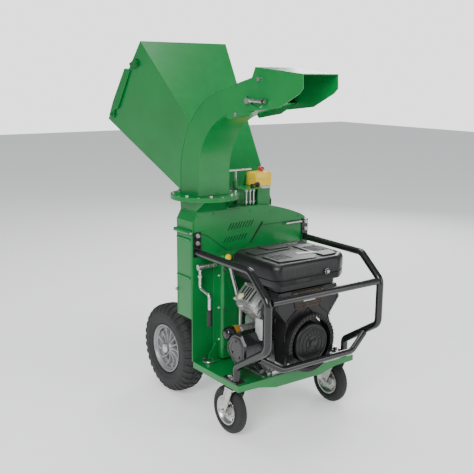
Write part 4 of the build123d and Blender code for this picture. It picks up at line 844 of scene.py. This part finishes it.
# ---- chute: flange rims, weld beads, seams ---------------------------------------------------------------
g = Geo()
for k in range(8):
    t = math.radians(45 * k)
    x, y = -214 + 130 * math.cos(t), 381 + 130 * math.sin(t)
    g.lathe((x, y, 0), "Z", [(946.1, 3.4), (946.1, 6.6), (947.5, 6.4), (947.5, 3.4)], 24)
g.done("ring_washers", "chute", "zinc", 0)
g = Geo()
z0 = 948.0
g.tube([(-290, 311, z0), (-138, 311, z0), (-138, 451, z0), (-290, 451, z0), (-290, 311, z0)], 2.6, 10, 4)
for x in (-289.6, -138.4):
    pts = [(x, 448.6, 950), (x, 448.6, 1021)]
    for j in range(1, 17):
        t = math.radians(j * 76.6 / 16)
        pts.append((x, 88 + 361 * math.cos(t), 1021 + 361 * math.sin(t)))
    pts.append((x, 52, 1400.2))
    g.tube(pts, 1.3, 8, 2)
    pts = [(x, 313.2, 950), (x, 313.2, 1038)]
    for j in range(1, 15):
        t = math.radians(j * 77 / 14)
        pts.append((x, 62 + 251.5 * math.cos(t), 1037 + 251.5 * math.sin(t)))
    pts.append((x, 130, 1278.6))
    g.tube(pts, 1.3, 8, 2)
g.done("chute_welds", "chute", "green", 0, 60)
g = Geo()
# hood edge folds
for x in (-291.8, -136.2):
    g.tube([(x, -314.6, 1432), (x, -316.6, 1390), (x, -299, 1373.4), (x, -197, 1324.6), (x, -18, 1304.6)], 1.0, 8, 6)
g.tube([(-291, -315, 1435), (-137, -315, 1435)], 1.6, 8)
g.done("hood_edges", "hood", "green", 0, 60)
g = Geo()
g.tube([(-304, -46, 1341), (-304, -110, 1341)], 5.0, 16)
for y in (-48, -100):
    g.lathe((-304, 0, 1341), "Y", [(y, 4.9), (y - 0.6, 6.6), (y - 4.4, 6.6), (y - 5, 4.9)], 24)
g.done("clamp_rod", "clamp", "zinc", 0)
g = Geo()
g.lathe((-304, 0, 1341), "Y", [(-135.8, 1), (-135.4, 5), (-132, 7.2), (-126, 7.8), (-112, 6.6), (-106, 6.2), (-106, 1)], 32, closed=False)
g.done("clamp_grip", "clamp", "rubber", 0)

# ---- hopper: weld seams, mouth hem, fixing screws ------------------------------------------------------
nY, nZ, vY, vZ = 0.7326, 0.6806, 0.6806, -0.7326


def mp2(x, down, out):
    return (x, 1035 + down * vY + out * nY, 1583 + down * vZ + out * nZ)


g = Geo()
small = [(11, 448.9, 879.8), (193, 448.9, 879.8), (193, 585.1, 733.2), (11, 585.1, 733.2)]
big = [mp2(-145, 0, 0), mp2(349, 0, 0), mp2(349, 519, 0), mp2(-145, 519, 0)]
ctr_s, ctr_b = Vector((102, 517, 806.5)), Vector((102, 1211.5, 1393))
for a, b in zip(small, big):
    a, b = Vector(a), Vector(b)
    a = ctr_s + (a - ctr_s) * 0.99
    b = ctr_b + (b - ctr_b) * 0.99
    g.tube([tuple(a), tuple(b)], 2.2, 10)
g.tube([tuple(ctr_s + (Vector(p) - ctr_s) * 1.004) for p in small + small[:1]], 2.4, 10, 4)
g.done("hopper_welds", "chassis", "green", 0, 60)
g = Geo()
# folded hem round the mouth, inside the edge
for down0, down1, xa, xb in ((1.2, 1.2, -142, 346), (517.6, 517.6, -142, 346)):
    g.tube([mp2(xa, down0, -2.2), mp2(xb, down1, -2.2)], 1.6, 10)
for x in (-143.4, 347.4):
    g.tube([mp2(x, 2, -2.2), mp2(x, 517, -2.2)], 1.5, 10)
g.done("hopper_hem", "chassis", "green", 0, 60)
g = Geo()
for s in (-1, 1):
    g.hexbolt(mp2(102 + s * 249.5, 102, -40), AX["X"] * s, 5.0, 3.4, 1.0)
    g.hexbolt((102 + s * 251.6, 1334, 1229), AX["X"] * s, 5.4, 2.6, 0.8)
g.done("bracket_bolts", "chassis", "zinc", 0.3)

# ---- housing: rear bearing grease nipple, left post cap -----------------------------------------------
g = Geo()
for k in range(4):
    t = math.pi / 4 + k * math.pi / 2
    g.hexbolt((31 * math.cos(t), 452.2, 632 + 31 * math.sin(t)), AX["Y"], 4.6, 3.8, 1.0)
g.cyl((0, 456, 660), (0, 462, 672), 3, 2.2, 16)
for x in (-280, -160, 270):
    for z in (450, 610, 770):
        g.hexbolt((x, 444.2, z), AX["Y"], 5.5, 4.5, 1.2)
g.done("housing_rear_bolts", "chassis", "zinc", 0.3)
g = Geo()
for s in (-1, 1):
    g.tube([(s * 313.4, 334, 790), (s * 313.4, 334, 430)], 1.4, 8)
    g.tube([(s * 313.4, 440, 790), (s * 313.4, 440, 430)], 1.4, 8)
for s in (-1, 1):
    g.tube([(s * 109, 411, 421), (s * 141, 411, 421)], 2.2, 8)
g.done("post_welds", "chassis", "green", 0, 60)

# tension lever thread and nuts
g = Geo()
for x in (-276, -268, -240, -232):
    g.cyl((x, 300, 655), (x + 6, 300, 655), 9.4, seg=6)
for i in range(22):
    x = -262 + i * 1.6
    g.lathe((x, 300, 655), "X", [(-0.5, 5.8), (0, 6.7), (0.5, 5.8)], 24)
g.done("lever_nuts", "tension_lever", "zinc", 0.2)

# ---- stage ---------------------------------------------------------------------------------------------
bpy.ops.mesh.primitive_plane_add(size=30, location=(0, 0, -0.0005))
floor = bpy.context.object
floor.name = "floor"
fm = bpy.data.materials.new("floor_white")
fm.use_nodes = True
fb = fm.node_tree.nodes["Principled BSDF"]
fb.inputs["Base Color"].default_value = (0.93, 0.93, 0.93, 1)
fb.inputs["Emission Color"].default_value = (1, 1, 1, 1)
fb.inputs["Emission Strength"].default_value = 0.4
fb.inputs["Roughness"].default_value = 0.9
floor.data.materials.append(fm)


def area(name, loc, target, size, power):
    ld = bpy.data.lights.new(name, "AREA")
    ld.shape = "RECTANGLE"
    ld.size, ld.size_y = size
    ld.energy = power
    lo = bpy.data.objects.new(name, ld)
    bpy.context.scene.collection.objects.link(lo)
    lo.location = loc
    lo.rotation_euler = (Vector(target) - Vector(loc)).to_track_quat("-Z", "Y").to_euler()
    return lo


area("key", (-3.4, -2.6, 3.2), (0, 0, 0.8), (1.8, 2.2), 190)
area("fill", (2.2, -4.4, 1.8), (0, 0, 0.6), (2.4, 2.4), 70)
area("top", (0.2, 0.4, 4.6), (0, 0, 0.8), (3.0, 3.0), 120)
area("rim", (3.4, 2.4, 2.6), (0, 0, 0.9), (1.6, 2.4), 80)
w = bpy.data.worlds.new("w")
bpy.context.scene.world = w
w.use_nodes = True
wt = w.node_tree
seen = wt.nodes["Background"]
seen.inputs[0].default_value = (1, 1, 1, 1)
seen.inputs[1].default_value = 2.2
lit = wt.nodes.new("ShaderNodeBackground")
lit.inputs[0].default_value = (0.92, 0.96, 1.0, 1)
lit.inputs[1].default_value = 0.30
lp = wt.nodes.new("ShaderNodeLightPath")
mixw = wt.nodes.new("ShaderNodeMixShader")
wt.links.new(lp.outputs["Is Camera Ray"], mixw.inputs[0])
wt.links.new(lit.outputs[0], mixw.inputs[1])
wt.links.new(seen.outputs[0], mixw.inputs[2])
wt.links.new(mixw.outputs[0], wt.nodes["World Output"].inputs[0])
